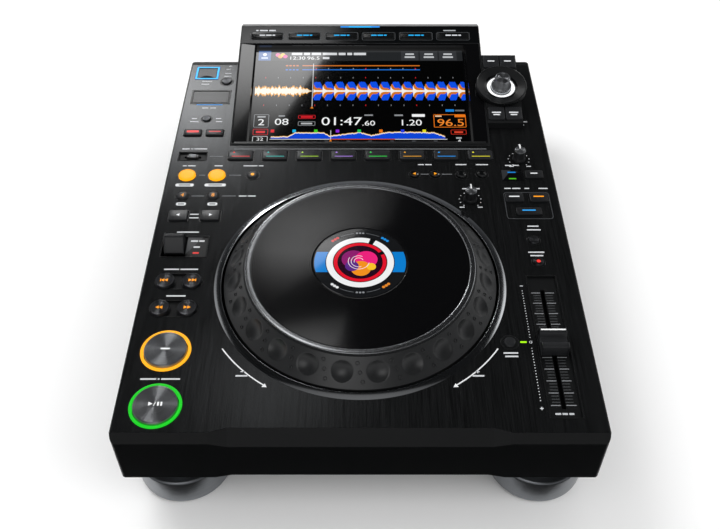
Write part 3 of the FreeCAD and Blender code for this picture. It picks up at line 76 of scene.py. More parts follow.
@dataclass(frozen=True)
class Finish:
    """A surface finish, named for the real material.

    Attributes:
        name: Name of the Blender material.
        colour: sRGB hex colour.
        roughness: Roughness of the surface.
        metallic: Share of metal.
        coat: Weight of a clear glossy coat.
        anisotropy: Stretch of the highlight across the grain.
        grain: Fine texture of the surface.
        grain_size: Size of one grain in millimetres.
        depth: Height of the grain in millimetres.
        glow: Strength of the light that it gives off.
        specular: Level of the reflection of a non-metal.
    """

    name: str
    colour: str
    roughness: float = 0.5
    metallic: float = 0.0
    coat: float = 0.0
    anisotropy: float = 0.0
    grain: Grain = Grain.NONE
    grain_size: float = 0.4
    depth: float = 0.01
    glow: float = 0.0
    specular: float = 0.5


CASE = Finish("black moulded ABS", "#0B0C0D", 0.4, grain=Grain.MOULDED, grain_size=0.35, depth=0.01,
              specular=0.3)
DECK_METAL = Finish("black hairline anodised aluminium", "#2A2B2C", 0.2, 0.8, anisotropy=0.3,
                    grain=Grain.BRUSHED, grain_size=0.6, depth=0.003)
HOUSING = Finish("satin black ABS", "#121314", 0.34, grain=Grain.MOULDED, grain_size=0.3, depth=0.004)
GLASS = Finish("black touch panel glass", "#030304", 0.05, coat=1.0, specular=1.0)
SILVER = Finish("bright silver plating", "#BCBEC1", 0.16, 1.0)
TRIM = Finish("satin grey plating", "#BCBEC1", 0.08, 1.0)
DIAL = Finish("charcoal satin ABS", "#18191A", 0.34, specular=0.75, grain=Grain.MOULDED,
              grain_size=0.25, depth=0.003)
PLATTER = Finish("gloss black polycarbonate", "#060607", 0.09, coat=0.6)
SPUN = Finish("spun aluminium", "#A6A8AB", 0.36, 1.0, anisotropy=1.0, grain=Grain.SPUN, grain_size=0.2,
              depth=0.002)
DARK_SPUN = Finish("black spun aluminium", "#5A5B5E", 0.32, 1.0, anisotropy=1.0, grain=Grain.SPUN,
                   grain_size=0.2, depth=0.002)
KEY = Finish("black key plastic", "#141517", 0.3, grain=Grain.MOULDED, grain_size=0.3, depth=0.003)
GREY_KEY = Finish("dark grey key plastic", "#1D1E20", 0.3, grain=Grain.MOULDED, grain_size=0.3, depth=0.004)
RED_LIT = Finish("red lit polycarbonate", "#F04A22", 0.35, glow=0.75)
LIGHT_RING = Finish("milky light guide", "#8C8F92", 0.3)
LENS = Finish("smoked acrylic lens", "#08090B", 0.06, coat=0.5)
FOOT = Finish("turned aluminium", "#8D9094", 0.32, 1.0, anisotropy=0.6, grain=Grain.SPUN, grain_size=0.5,
              depth=0.004)
RUBBER = Finish("black rubber", "#111213", 0.8, grain=Grain.RUBBER, grain_size=0.6, depth=0.03)
TRAY = Finish("black powder-coated steel", "#1D1E20", 0.55, grain=Grain.RUBBER, grain_size=0.5, depth=0.015)
BOARD = Finish("green fibreglass board", "#174A2C", 0.5)
CAGE = Finish("galvanised steel", "#8B9094", 0.42, 1.0, grain=Grain.RUBBER, grain_size=2.0, depth=0.004)
SOCKET = Finish("black socket nylon", "#101113", 0.45, grain=Grain.MOULDED, grain_size=0.3, depth=0.004)
SCREW = Finish("black oxide steel", "#3A3B3D", 0.4, 1.0)
GOLD = Finish("gold-plated contact", "#D9A94A", 0.25, 1.0)
PRINT = Finish("screen-printed ink", "#D8DADC", 0.55, grain=Grain.TINTED)
PICTURE = Finish("lit display picture", "#000000", 0.06, coat=1.0, specular=1.0, grain=Grain.LIT, glow=1.0)
LIT_WINDOW = Finish("lit satin window", "#000000", 0.32, grain=Grain.LIT, glow=1.0)
LAMP = Finish("lit light guide", "#101010", 0.35, grain=Grain.LIT, glow=1.25)
GAP_BLACK = Finish("unlit recess", "#020202", 0.7)
# Near-black with no light of its own, laid in the gaps round buttons, keys and the card well: painted gap
# shade.
GAP_SHADE = Finish("black collar plastic", "#0B0C0D", 0.32)
GLOSS_CAP = Finish("piano black plastic", "#08090A", 0.1)
BEZEL = Finish("piano black lacquer", "#060607", 0.08, coat=0.8, specular=0.8)
GLOSS_KEY = Finish("gloss black key plastic", "#0A0B0C", 0.2, coat=0.4)
FADER_CAP = Finish("black fader cap plastic", "#1C1D1F", 0.36, grain=Grain.MOULDED, grain_size=0.3,
                   depth=0.003)
LEVER = Finish("black lever plastic", "#1A1B1D", 0.34, grain=Grain.MOULDED, grain_size=0.3, depth=0.003)
KNOB_METAL = Finish("polished knob metal", "#B9BBBE", 0.2, 1.0)
KNOB_BLACK = Finish("black knob rubber", "#101113", 0.45)
PORT_WHITE = Finish("white contact carrier", "#D4D6D8", 0.5)

SLOT_FINISHES = {
    "case_plastic": CASE, "deck_aluminium": DECK_METAL, "housing_plastic": HOUSING, "screen_glass": GLASS,
    "silver_trim": SILVER, "dial_plastic": DIAL, "platter_plastic": PLATTER, "spun_metal": SPUN,
    "key_plastic": KEY, "grey_key": GREY_KEY, "lit_orange": RED_LIT, "light_ring": LIGHT_RING, "lens": LENS,
    "foot_metal": FOOT, "pad_rubber": RUBBER, "tray_steel": TRAY, "board": BOARD, "supply_steel": CAGE,
    "socket_plastic": SOCKET, "screw_steel": SCREW,
}


def linear(code: str) -> tuple[float, float, float, float]:
    """Turn an sRGB hex colour into linear red, green, blue and alpha.

    Args:
        code: Hex colour such as "#8090A0".

    Returns:
        The four linear channels.
    """
    parts = [int(code[place:place + 2], 16) / 255 for place in (1, 3, 5)]
    low = [part / 12.92 if part <= 0.04045 else ((part + 0.055) / 1.055) ** 2.4 for part in parts]
    return (low[0], low[1], low[2], 1.0)


def add(tree: bpy.types.NodeTree, kind: str, settings: dict | None = None, **inputs) -> bpy.types.Node:
    """Add a node, set its properties, and set or link its inputs.

    Args:
        tree: Node tree that takes the node.
        kind: Blender's name of the node type.
        settings: Properties of the node itself.
        **inputs: Value or source socket by input name; "in_0" stands for the first input, and so on.

    Returns:
        The new node.
    """
    made = tree.nodes.new(kind)
    for name, value in (settings or {}).items():
        setattr(made, name, value)
    for name, value in inputs.items():
        key = int(name[3:]) if name.startswith("in_") else name.replace("_", " ")
        if isinstance(value, bpy.types.NodeSocket):
            tree.links.new(value, made.inputs[key])
        else:
            made.inputs[key].default_value = value
    return made


class Paint:
    """Makes each finish into a Blender material once."""

    made: dict[tuple[Finish, bool], bpy.types.Material] = {}

    @classmethod
    def of(cls, finish: Finish, soft_edges: bool = False) -> bpy.types.Material:
        """Give the material of a finish.

        Args:
            finish: The finish.
            soft_edges: Whether sharp edges are shaded as slightly rounded.

        Returns:
            The material, made the first time it is asked for.
        """
        key = (finish, soft_edges)
        if key not in cls.made:
            cls.made[key] = cls(finish, soft_edges).material
        return cls.made[key]

    def __init__(self, finish: Finish, soft_edges: bool) -> None:
        """Build the node tree of a finish.

        Args:
            finish: The finish.
            soft_edges: Whether sharp edges are shaded as slightly rounded.
        """
        self.finish = finish
        self.material = bpy.data.materials.new(finish.name)
        self.material.use_nodes = True
        self.tree = self.material.node_tree
        self.shader = self.tree.nodes["Principled BSDF"]
        colour = linear(finish.colour)
        values = {"Base Color": colour, "Roughness": finish.roughness, "Metallic": finish.metallic,
                  "Coat Weight": finish.coat, "Coat Roughness": 0.03, "Anisotropic": finish.anisotropy,
                  "Specular IOR Level": finish.specular, "Emission Color": colour,
                  "Emission Strength": finish.glow}
        for name, value in values.items():
            self.shader.inputs[name].default_value = value
        self.normal = None
        if soft_edges:
            self.normal = add(self.tree, "ShaderNodeBevel", {"samples": 4}, Radius=0.35 * METRE).outputs[0]
        if finish.grain in (Grain.TINTED, Grain.LIT):
            self.tint()
        elif finish.grain is not Grain.NONE:
            self.texture()
        if self.normal is not None:
            self.tree.links.new(self.normal, self.shader.inputs["Normal"])

    def tint(self) -> None:
        """Take the colour from the piece's own colour attribute."""
        source = add(self.tree, "ShaderNodeAttribute", {"attribute_name": "tint"})
        if self.finish.grain is Grain.TINTED:
            self.tree.links.new(source.outputs["Color"], self.shader.inputs["Base Color"])
        else:
            self.tree.links.new(source.outputs["Color"], self.shader.inputs["Emission Color"])

    def texture(self) -> None:
        """Add the streaks or pores of the grain, and the direction of the grain."""
        grain = self.finish.grain
        pitch = 1 / (self.finish.grain_size * METRE)
        if grain is Grain.SPUN:
            along = add(self.tree, "ShaderNodeUVMap").outputs[0]
            scale = (3.0, 1 / self.finish.grain_size, 1.0)
            tangent = add(self.tree, "ShaderNodeTangent", {"direction_type": "UV_MAP"}).outputs[0]
            self.tree.links.new(tangent, self.shader.inputs["Tangent"])
            self.shader.inputs["Anisotropic Rotation"].default_value = 0.25
        else:
            along = add(self.tree, "ShaderNodeTexCoord").outputs["Object"]
            scale = (pitch, pitch / 60, pitch) if grain is Grain.BRUSHED else (pitch, pitch, pitch)
        if grain is Grain.BRUSHED:
            tangent = add(self.tree, "ShaderNodeCombineXYZ", X=1.0, Y=0.0, Z=0.0).outputs[0]
            self.tree.links.new(tangent, self.shader.inputs["Tangent"])
        placed = add(self.tree, "ShaderNodeMapping", Vector=along, Scale=scale).outputs[0]
        noise = add(self.tree, "ShaderNodeTexNoise", Vector=placed, Scale=1.0, Detail=3.0,
                    Roughness=0.6).outputs[0]
        streaked = grain in (Grain.BRUSHED, Grain.SPUN)
        shade = 0.5 if grain is Grain.BRUSHED else 0.2
        swing = add(self.tree, "ShaderNodeMapRange", Value=noise, From_Min=0.3, From_Max=0.7,
                    To_Min=1 - shade if streaked else 0.9, To_Max=1 + shade if streaked else 1.1).outputs[0]
        colour = add(self.tree, "ShaderNodeVectorMath", {"operation": "SCALE"},
                     in_0=linear(self.finish.colour)[:3], Scale=swing).outputs[0]
        self.tree.links.new(colour, self.shader.inputs["Base Color"])
        rough = self.finish.roughness
        rubbed = add(self.tree, "ShaderNodeMapRange", Value=noise, From_Min=0.3, From_Max=0.7,
                     To_Min=rough * 0.88, To_Max=min(rough * 1.12, 1.0)).outputs[0]
        self.tree.links.new(rubbed, self.shader.inputs["Roughness"])
        bump = add(self.tree, "ShaderNodeBump", Strength=0.5, Distance=self.finish.depth * METRE,
                   Height=noise)
        if self.normal is not None:
            self.tree.links.new(self.normal, bump.inputs["Normal"])
        self.normal = bump.outputs[0]


class Shape:
    """Surfaces of one piece, gathered until the mesh is made."""

    def __init__(self, name: str) -> None:
        """Start an empty piece under a name."""
        self.name = name
        self.points: list[np.ndarray] = []
        self.faces: list[list[int]] = []
        self.uvs: list[tuple[float, float]] = []
        self.slots: list[int] = []
        self.tints: list[tuple[float, float, float, float]] = []
        self.finishes: list[Finish] = []
        self.count = 0

    def slot(self, finish: Finish) -> int:
        """Give the material index of a finish, adding the finish when it is new."""
        if finish not in self.finishes:
            self.finishes.append(finish)
        return self.finishes.index(finish)

    def grid(self, points: np.ndarray, finish: Finish, closed: bool = True, start_cap: bool = False,
             end_cap: bool = False, tint: str = "#FFFFFF") -> None:
        """Add a surface of rows and columns of points.

        Outward is to the right of the rows' direction of travel, seen with the columns going
        counter-clockwise from above.

        Args:
            points: Points, rows by columns by three.
            finish: Finish of the surface.
            closed: Whether the last column meets the first.
            start_cap: Whether a flat face closes the first row.
            end_cap: Whether a flat face closes the last row.
            tint: sRGB hex colour for finishes that take one.
        """
        rows, columns = points.shape[:2]
        index = np.arange(rows * columns).reshape(rows, columns) + self.count
        span = columns if closed else columns - 1
        near = np.arange(span)
        far = (near + 1) % columns
        below, above = index[:-1], index[1:]
        quads = np.stack([below[:, near], below[:, far], above[:, far], above[:, near]], axis=-1)
        steps = np.linalg.norm(np.diff(points, axis=0), axis=2).mean(axis=1)
        reach = np.concatenate([[0.0], np.cumsum(steps)])
        low, high = np.broadcast_arrays(reach[:-1, None], reach[1:, None])
        left = np.broadcast_to(near / span, (rows - 1, span))
        right = np.broadcast_to((near + 1) / span, (rows - 1, span))
        low = np.broadcast_to(low, (rows - 1, span))
        high = np.broadcast_to(high, (rows - 1, span))
        uv = np.stack([np.stack([left, low], -1), np.stack([right, low], -1), np.stack([right, high], -1),
                       np.stack([left, high], -1)], axis=2)
        self.take(points.reshape(-1, 3), quads.reshape(-1, 4).tolist(), uv.reshape(-1, 2).tolist(), finish,
                  tint)
        base = self.count - rows * columns
        for wanted, row, turn in ((start_cap, 0, -1), (end_cap, rows - 1, 1)):
            if wanted:
                loop = [base + row * columns + column for column in range(columns)][::turn]
                self.faces.append(loop)
                self.uvs.extend([(0.0, 0.0)] * columns)
                self.slots.append(self.slot(finish))
                self.tints.append(linear(tint))

    def take(self, points: np.ndarray, faces: list[list[int]], uvs: list, finish: Finish, tint: str) -> None:
        """Add points and faces whose indices already count the points gathered so far."""
        self.points.append(points)
        self.count += len(points)
        self.faces.extend(faces)
        self.uvs.extend(uvs)
        self.slots.extend([self.slot(finish)] * len(faces))
        self.tints.extend([linear(tint)] * len(faces))

    def flat(self, outline: np.ndarray, finish: Finish, tint: str = "#FFFFFF") -> None:
        """Add one flat face from a counter-clockwise outline of three-dimensional points."""
        face = list(range(self.count, self.count + len(outline)))
        self.take(outline, [face], [(0.0, 0.0)] * len(outline), finish, tint)

    def build(self, body: str, replaces: Sequence[str] = (), slot: str | None = None, sharp: float = 32.0,
              soft_edges: bool = False) -> bpy.types.Object:
        """Make the Blender object.

        Args:
            body: CAD body that it rides on.
            replaces: CAD nodes that it stands for.
            slot: Material slot of the record that the piece stands for; not used.
            sharp: Angle in degrees above which an edge stays sharp.
            soft_edges: Whether its materials shade sharp edges as rounded.

        Returns:
            The object, linked to the scene.
        """
        mesh = bpy.data.meshes.new(self.name)
        points = np.concatenate(self.points) * METRE
        mesh.from_pydata(points.tolist(), [], self.faces)
        mesh.polygons.foreach_set("material_index", self.slots)
        mesh.polygons.foreach_set("use_smooth", [True] * len(self.faces))
        mesh.uv_layers.new(name="UVMap").uv.foreach_set("vector", np.array(self.uvs).ravel())
        tint = mesh.attributes.new("tint", "FLOAT_COLOR", "FACE")
        tint.data.foreach_set("color", np.array(self.tints).ravel())
        for finish in self.finishes:
            mesh.materials.append(Paint.of(finish, soft_edges))
        mesh.update()
        mesh.set_sharp_from_angle(angle=math.radians(sharp))
        thing = bpy.data.objects.new(self.name, mesh)
        bpy.context.scene.collection.objects.link(thing)
        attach(thing, body)
        if replaces:
            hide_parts(*replaces)
        log.info("piece %s: %d faces", self.name, len(self.faces))
        return thing


@dataclass(frozen=True)
class Slope:
    """A plane that rises to the rear.

    Attributes:
        front: Y of its front edge.
        height: Z of its front edge.
        degrees: Its tilt.
    """

    front: float
    height: float
    degrees: float

    @property
    def normal(self) -> np.ndarray:
        """Unit vector out of the plane."""
        turn = math.radians(self.degrees)
        return np.array((0.0, -math.sin(turn), math.cos(turn)))

    def place(self, points: np.ndarray) -> np.ndarray:
        """Turn points of x, distance along the slope and height over it into space.

        Args:
            points: Array whose last axis holds the three values.

        Returns:
            The same points in the common frame.
        """
        turn = math.radians(self.degrees)
        along, up = points[..., 1], points[..., 2]
        y = self.front + along * math.cos(turn) - up * math.sin(turn)
        z = self.height + along * math.sin(turn) + up * math.cos(turn)
        return np.stack([points[..., 0], y, z], axis=-1)


FLAT = Slope(0.0, DECK, 0.0)
SCREEN = Slope(70.6, DECK, 11.644)
POD = Slope(95.1, DECK + 6.4, 11.644)


@dataclass(frozen=True)
class Viewpoint:
    """The photo's camera, in photo pixels and millimetres."""

    focal: float = 904.76
    pitch: float = 45.196
    centre_x: float = 360.08
    centre_y: float = 233.36
    back: float = -546.8
    height: float = 600.0
    width: int = 720
    rows: int = 529

    def ray(self, x: float, y: float) -> np.ndarray:
        """Direction of the sight line through a photo pixel."""
        tip = math.radians(self.pitch)
        across = (x - self.centre_x) / self.focal
        down = (y - self.centre_y) / self.focal
        return np.array((across, math.cos(tip) - down * math.sin(tip), -math.sin(tip) - down * math.cos(tip)))

    def hit(self, x: float, y: float, slope: Slope, up: float) -> np.ndarray:
        """Point where a sight line meets a plane over a slope.

        Args:
            x: Pixel column.
            y: Pixel row.
            slope: The slope.
            up: Height over the slope.

        Returns:
            The point in space.
        """
        eye = np.array((0.0, self.back, self.height))
        on = slope.place(np.array((0.0, 0.0, up)))
        line = self.ray(x, y)
        return eye + line * float(np.dot(on - eye, slope.normal) / np.dot(line, slope.normal))

    def over(self, x: float, y: float, slope: Slope = FLAT, up: float = 0.0) -> tuple[float, float]:
        """Give x and the distance along a slope of the point behind a photo pixel."""
        point = self.hit(x, y, slope, up)
        turn = math.radians(slope.degrees)
        along = (point[1] - slope.front) * math.cos(turn) + (point[2] - slope.height) * math.sin(turn)
        return float(point[0]), float(along)

    def mirrored(self, x: float, y: float, slope: Slope, up: float, wall: float) -> np.ndarray:
        """Point on an upright wall that a photo pixel shows when the slope is a mirror.

        Args:
            x: Pixel column.
            y: Pixel row.
            slope: The mirror.
            up: Height of the mirror over the slope's own plane.
            wall: Y of the wall.

        Returns:
            The point on the wall.
        """
        start = self.hit(x, y, slope, up)
        line = self.ray(x, y)
        back = line - 2 * float(np.dot(line, slope.normal)) * slope.normal
        return start + back * ((wall - start[1]) / back[1])


PHOTO = Viewpoint()


def eased(corners: Iterable[tuple[float, float, float]], steps: int = 4) -> np.ndarray:
    """Round the corners of an open line.

    Each corner becomes a short curve between the points that lie its reach away on both sides.

    Args:
        corners: Two coordinates and the reach of each corner.
        steps: Straight pieces in each rounded corner.

    Returns:
        The points of the line.
    """
    places = [np.array(corner[:2]) for corner in corners]
    reaches = [corner[2] for corner in corners]
    share = np.linspace(0, 1, steps + 1)[:, None]
    line = []
    for index, (here, reach) in enumerate(zip(places, reaches)):
        if reach <= 0 or index in (0, len(places) - 1):
            line.append(here[None])
            continue
        before, after = places[index - 1] - here, places[index + 1] - here
        first = here + before * reach / np.linalg.norm(before)
        last = here + after * reach / np.linalg.norm(after)
        line.append((1 - share) ** 2 * first + 2 * share * (1 - share) * here + share ** 2 * last)
    return np.concatenate(line)


def turned(corners: Iterable[tuple[float, float, float]], x: float, y: float, z: float = 0.0,
           columns: int = 96, slope: Slope | None = None, steps: int = 4) -> np.ndarray:
    """Turn a line of radius and height about an upright axis, or about one square to a slope.

    Args:
        corners: Radius, height and corner reach, going up the outside and in over the top.
        x: X of the axis.
        y: Y of the axis, or its distance along the slope.
        z: Height that the line's heights are measured from.
        columns: Number of columns round the axis.
        slope: Slope that carries the axis.
        steps: Straight pieces in each rounded corner.

    Returns:
        Points, rows by columns by three.
    """
    line = eased(corners, steps)
    turn = np.arange(columns) * FULL_TURN / columns
    radius = line[:, 0:1]
    points = np.stack([x + radius * np.cos(turn), y + radius * np.sin(turn),
                       np.broadcast_to(z + line[:, 1:2], (len(line), columns))], axis=-1)
    return slope.place(points) if slope else points


def rounded_box(x: float, y: float, width: float, depth: float, corner: float, steps: int = 5) -> np.ndarray:
    """Outline of a rectangle with round corners, counter-clockwise.

    Args:
        x: X of its centre.
        y: Y of its centre.
        width: Size along X.
        depth: Size along Y.
        corner: Corner radius.
        steps: Straight pieces in each corner.

    Returns:
        Points by two.
    """
    corner = min(corner, width / 2, depth / 2)
    turns = np.linspace(0, math.pi / 2, steps + 1)
    parts = []
    for quarter, (side, end) in enumerate(((1, 1), (-1, 1), (-1, -1), (1, -1))):
        angle = turns + quarter * math.pi / 2
        parts.append(np.column_stack([x + side * (width / 2 - corner) + corner * np.cos(angle),
                                      y + end * (depth / 2 - corner) + corner * np.sin(angle)]))
    return np.concatenate(parts)


def slab(x: float, y: float, width: float, depth: float, low: float, high: float, corner: float = 0.8,
         edge: float = 0.4, slope: Slope = FLAT, dish: float = 0.0) -> np.ndarray:
    """Rows of points of a key-like block with a rounded upper edge.

    Args:
        x: X of its centre.
        y: Y of its centre, along the slope.
        width: Size along X.
        depth: Size along Y.
        low: Height of its foot over the slope.
        high: Height of its top over the slope.
        corner: Radius of its upright corners.
        edge: Radius of its upper edge.
        slope: The slope it stands on.
        dish: Depth by which the top is hollowed.

    Returns:
        Points, rows by columns by three, to be closed at the top.
    """
    rows = [(0.0, low), (0.0, high - edge)]
    for turn in (30, 60, 90):
        angle = math.radians(turn)
        rows.append((edge * (1 - math.cos(angle)), high - edge * (1 - math.sin(angle))))
    if dish:
        rows.append((min(width, depth) * 0.25, high - dish))
    loops = []
    for inset, height in rows:
        outline = rounded_box(x, y, width - 2 * inset, depth - 2 * inset, max(corner - inset, 0.05))
        loops.append(np.column_stack([outline, np.full(len(outline), height)]))
    return slope.place(np.stack(loops))


def disc(x: float, y: float, radius: float, up: float, slope: Slope = FLAT, columns: int = 64) -> np.ndarray:
    """Outline of a flat disc over a slope."""
    turn = np.arange(columns) * FULL_TURN / columns
    flat = np.column_stack([x + radius * np.cos(turn), y + radius * np.sin(turn), np.full(columns, up)])
    return slope.place(flat)


def band(x: float, y: float, inner: float, outer: float, up: float, start: float = 0.0, end: float = 360.0,
         slope: Slope = FLAT, columns: int = 96) -> np.ndarray:
    """Two rows of points of a flat ring or arc, its outer edge first.

    Args:
        x: X of the centre.
        y: Y of the centre.
        inner: Inner radius.
        outer: Outer radius.
        up: Height over the slope.
        start: First angle in degrees.
        end: Last angle in degrees.
        slope: The slope it lies on.
        columns: Number of columns.

    Returns:
        Points, two rows by columns by three.
    """
    whole = abs(end - start) >= 360
    turn = np.radians(np.linspace(start, end, columns, endpoint=not whole))
    rows = [np.column_stack([x + radius * np.cos(turn), y + radius * np.sin(turn), np.full(columns, up)])
            for radius in (outer, inner)]
    return slope.place(np.stack(rows))


def numerals(text: str, height: float) -> tuple[np.ndarray, list[list[int]], float]:
    """Outline plain numbers as a flat mesh.

    Args:
        text: Digits and points.
        height: Height of one digit.

    Returns:
        Points by two, faces, and the width of the whole.
    """
    curve = bpy.data.curves.new("numerals", "FONT")
    curve.body = text
    holder = bpy.data.objects.new("numerals", curve)
    mesh = bpy.data.meshes.new_from_object(holder)
    points = np.array([vertex.co[:2] for vertex in mesh.vertices])
    faces = [list(polygon.vertices) for polygon in mesh.polygons]
    bpy.data.objects.remove(holder)
    bpy.data.curves.remove(curve)
    bpy.data.meshes.remove(mesh)
    low = points.min(axis=0)
    tall = points[:, 1].max() - low[1]
    points = (points - low) * height / tall
    return points, faces, float(points[:, 0].max())


class Marks:
    """Flat printed or lit marks that lie on one surface."""

    def __init__(self, name: str, slope: Slope, up: float, finish: Finish) -> None:
        """Start a sheet of marks.

        Args:
            name: Name of the piece.
            slope: Slope that carries the marks.
            up: Height of the marks over the slope.
            finish: Finish of the marks.
        """
        self.shape = Shape(name)
        self.slope = slope
        self.up = up
        self.finish = finish

    def polygon(self, outline: Sequence, tint: str, lift: float = 0.0) -> None:
        """Add a face from a counter-clockwise outline of x and distance along."""
        flat = np.array(outline, dtype=float)
        points = np.column_stack([flat, np.full(len(flat), self.up + lift)])
        self.shape.flat(self.slope.place(points), self.finish, tint)

    def bar(self, x: float, y: float, width: float, depth: float, tint: str, corner: float = 0.0,
            lift: float = 0.0) -> None:
        """Add a bar about its centre."""
        outline = rounded_box(x, y, width, depth, max(corner, 0.01), 4 if corner else 1)
        self.polygon(outline, tint, lift)

    def frame(self, x: float, y: float, width: float, depth: float, line: float, tint: str,
              corner: float = 0.6, lift: float = 0.0) -> None:
        """Add the outline of a box, drawn with a line of a given width."""
        rows = [rounded_box(x, y, width - 2 * inset, depth - 2 * inset, max(corner - inset, 0.05))
                for inset in (0.0, line)]
        points = np.stack([np.column_stack([row, np.full(len(row), self.up + lift)]) for row in rows])
        self.shape.grid(self.slope.place(points), self.finish, tint=tint)

    def arc(self, x: float, y: float, inner: float, outer: float, tint: str, start: float = 0.0,
            end: float = 360.0, lift: float = 0.0, columns: int = 72) -> None:
        """Add a ring or an arc."""
        points = band(x, y, inner, outer, self.up + lift, start, end, self.slope, columns)
        self.shape.grid(points, self.finish, closed=abs(end - start) >= 360, tint=tint)

    def dot(self, x: float, y: float, radius: float, tint: str, lift: float = 0.0, columns: int = 20) -> None:
        """Add a filled disc."""
        turn = np.arange(columns) * FULL_TURN / columns
        self.polygon(np.column_stack([x + radius * np.cos(turn), y + radius * np.sin(turn)]), tint, lift)

    def triangle(self, x: float, y: float, size: float, direction: float, tint: str,
                 lift: float = 0.0) -> None:
        """Add a triangle that points to an angle in degrees."""
        turn = np.radians(direction + np.array((0, 120, 240)))
        self.polygon(np.column_stack([x + size * np.cos(turn), y + size * np.sin(turn)]), tint, lift)

    def number(self, text: str, x: float, y: float, height: float, tint: str, lift: float = 0.0,
               stretch: float = 1.0) -> None:
        """Add plain numbers, centred on a point."""
        points, faces, width = numerals(text, height)
        placed = np.column_stack([x + (points[:, 0] - width / 2) * stretch, y - height / 2 + points[:, 1],
                                  np.full(len(points), self.up + lift)])
        base = self.shape.count
        shifted = [[index + base for index in face] for face in faces]
        corners = sum(len(face) for face in faces)
        self.shape.take(self.slope.place(placed), shifted, [(0.0, 0.0)] * corners, self.finish, tint)

    def curve(self, xs: np.ndarray, low: np.ndarray, high: np.ndarray, tint: str, lift: float = 0.0) -> None:
        """Fill the space between two lines over the same x values."""
        rows = [np.column_stack([xs, line, np.full(len(xs), self.up + lift)]) for line in (low, high)]
        self.shape.grid(self.slope.place(np.stack(rows)), self.finish, closed=False, tint=tint)

    def build(self, body: str = "chassis") -> bpy.types.Object:
        """Make the marks into one object on a body."""
        return self.shape.build(body)


def words(marks: Marks, x: float, y: float, parts: Sequence[float], tint: str = "#C9CBCE",
          depth: float = 1.3, up_slope: Slope | None = None) -> None:
    """Print a row of short bars where the photo has a legend.

    Args:
        marks: Sheet that takes the bars.
        x: Pixel column of the row's centre in the photo.
        y: Pixel row of its centre.
        parts: Length of each bar in millimetres.
        tint: Colour of the bars.
        depth: Height of the bars.
        up_slope: Slope to look for the point on, when it isn't the marks' own.
    """
    slope = up_slope or marks.slope
    centre, along = PHOTO.over(x, y, slope, marks.up)
    space = 1.1
    left = centre - (sum(parts) + space * (len(parts) - 1)) / 2
    for part in parts:
        marks.bar(left + part / 2, along, part, depth, tint)
        left += part + space


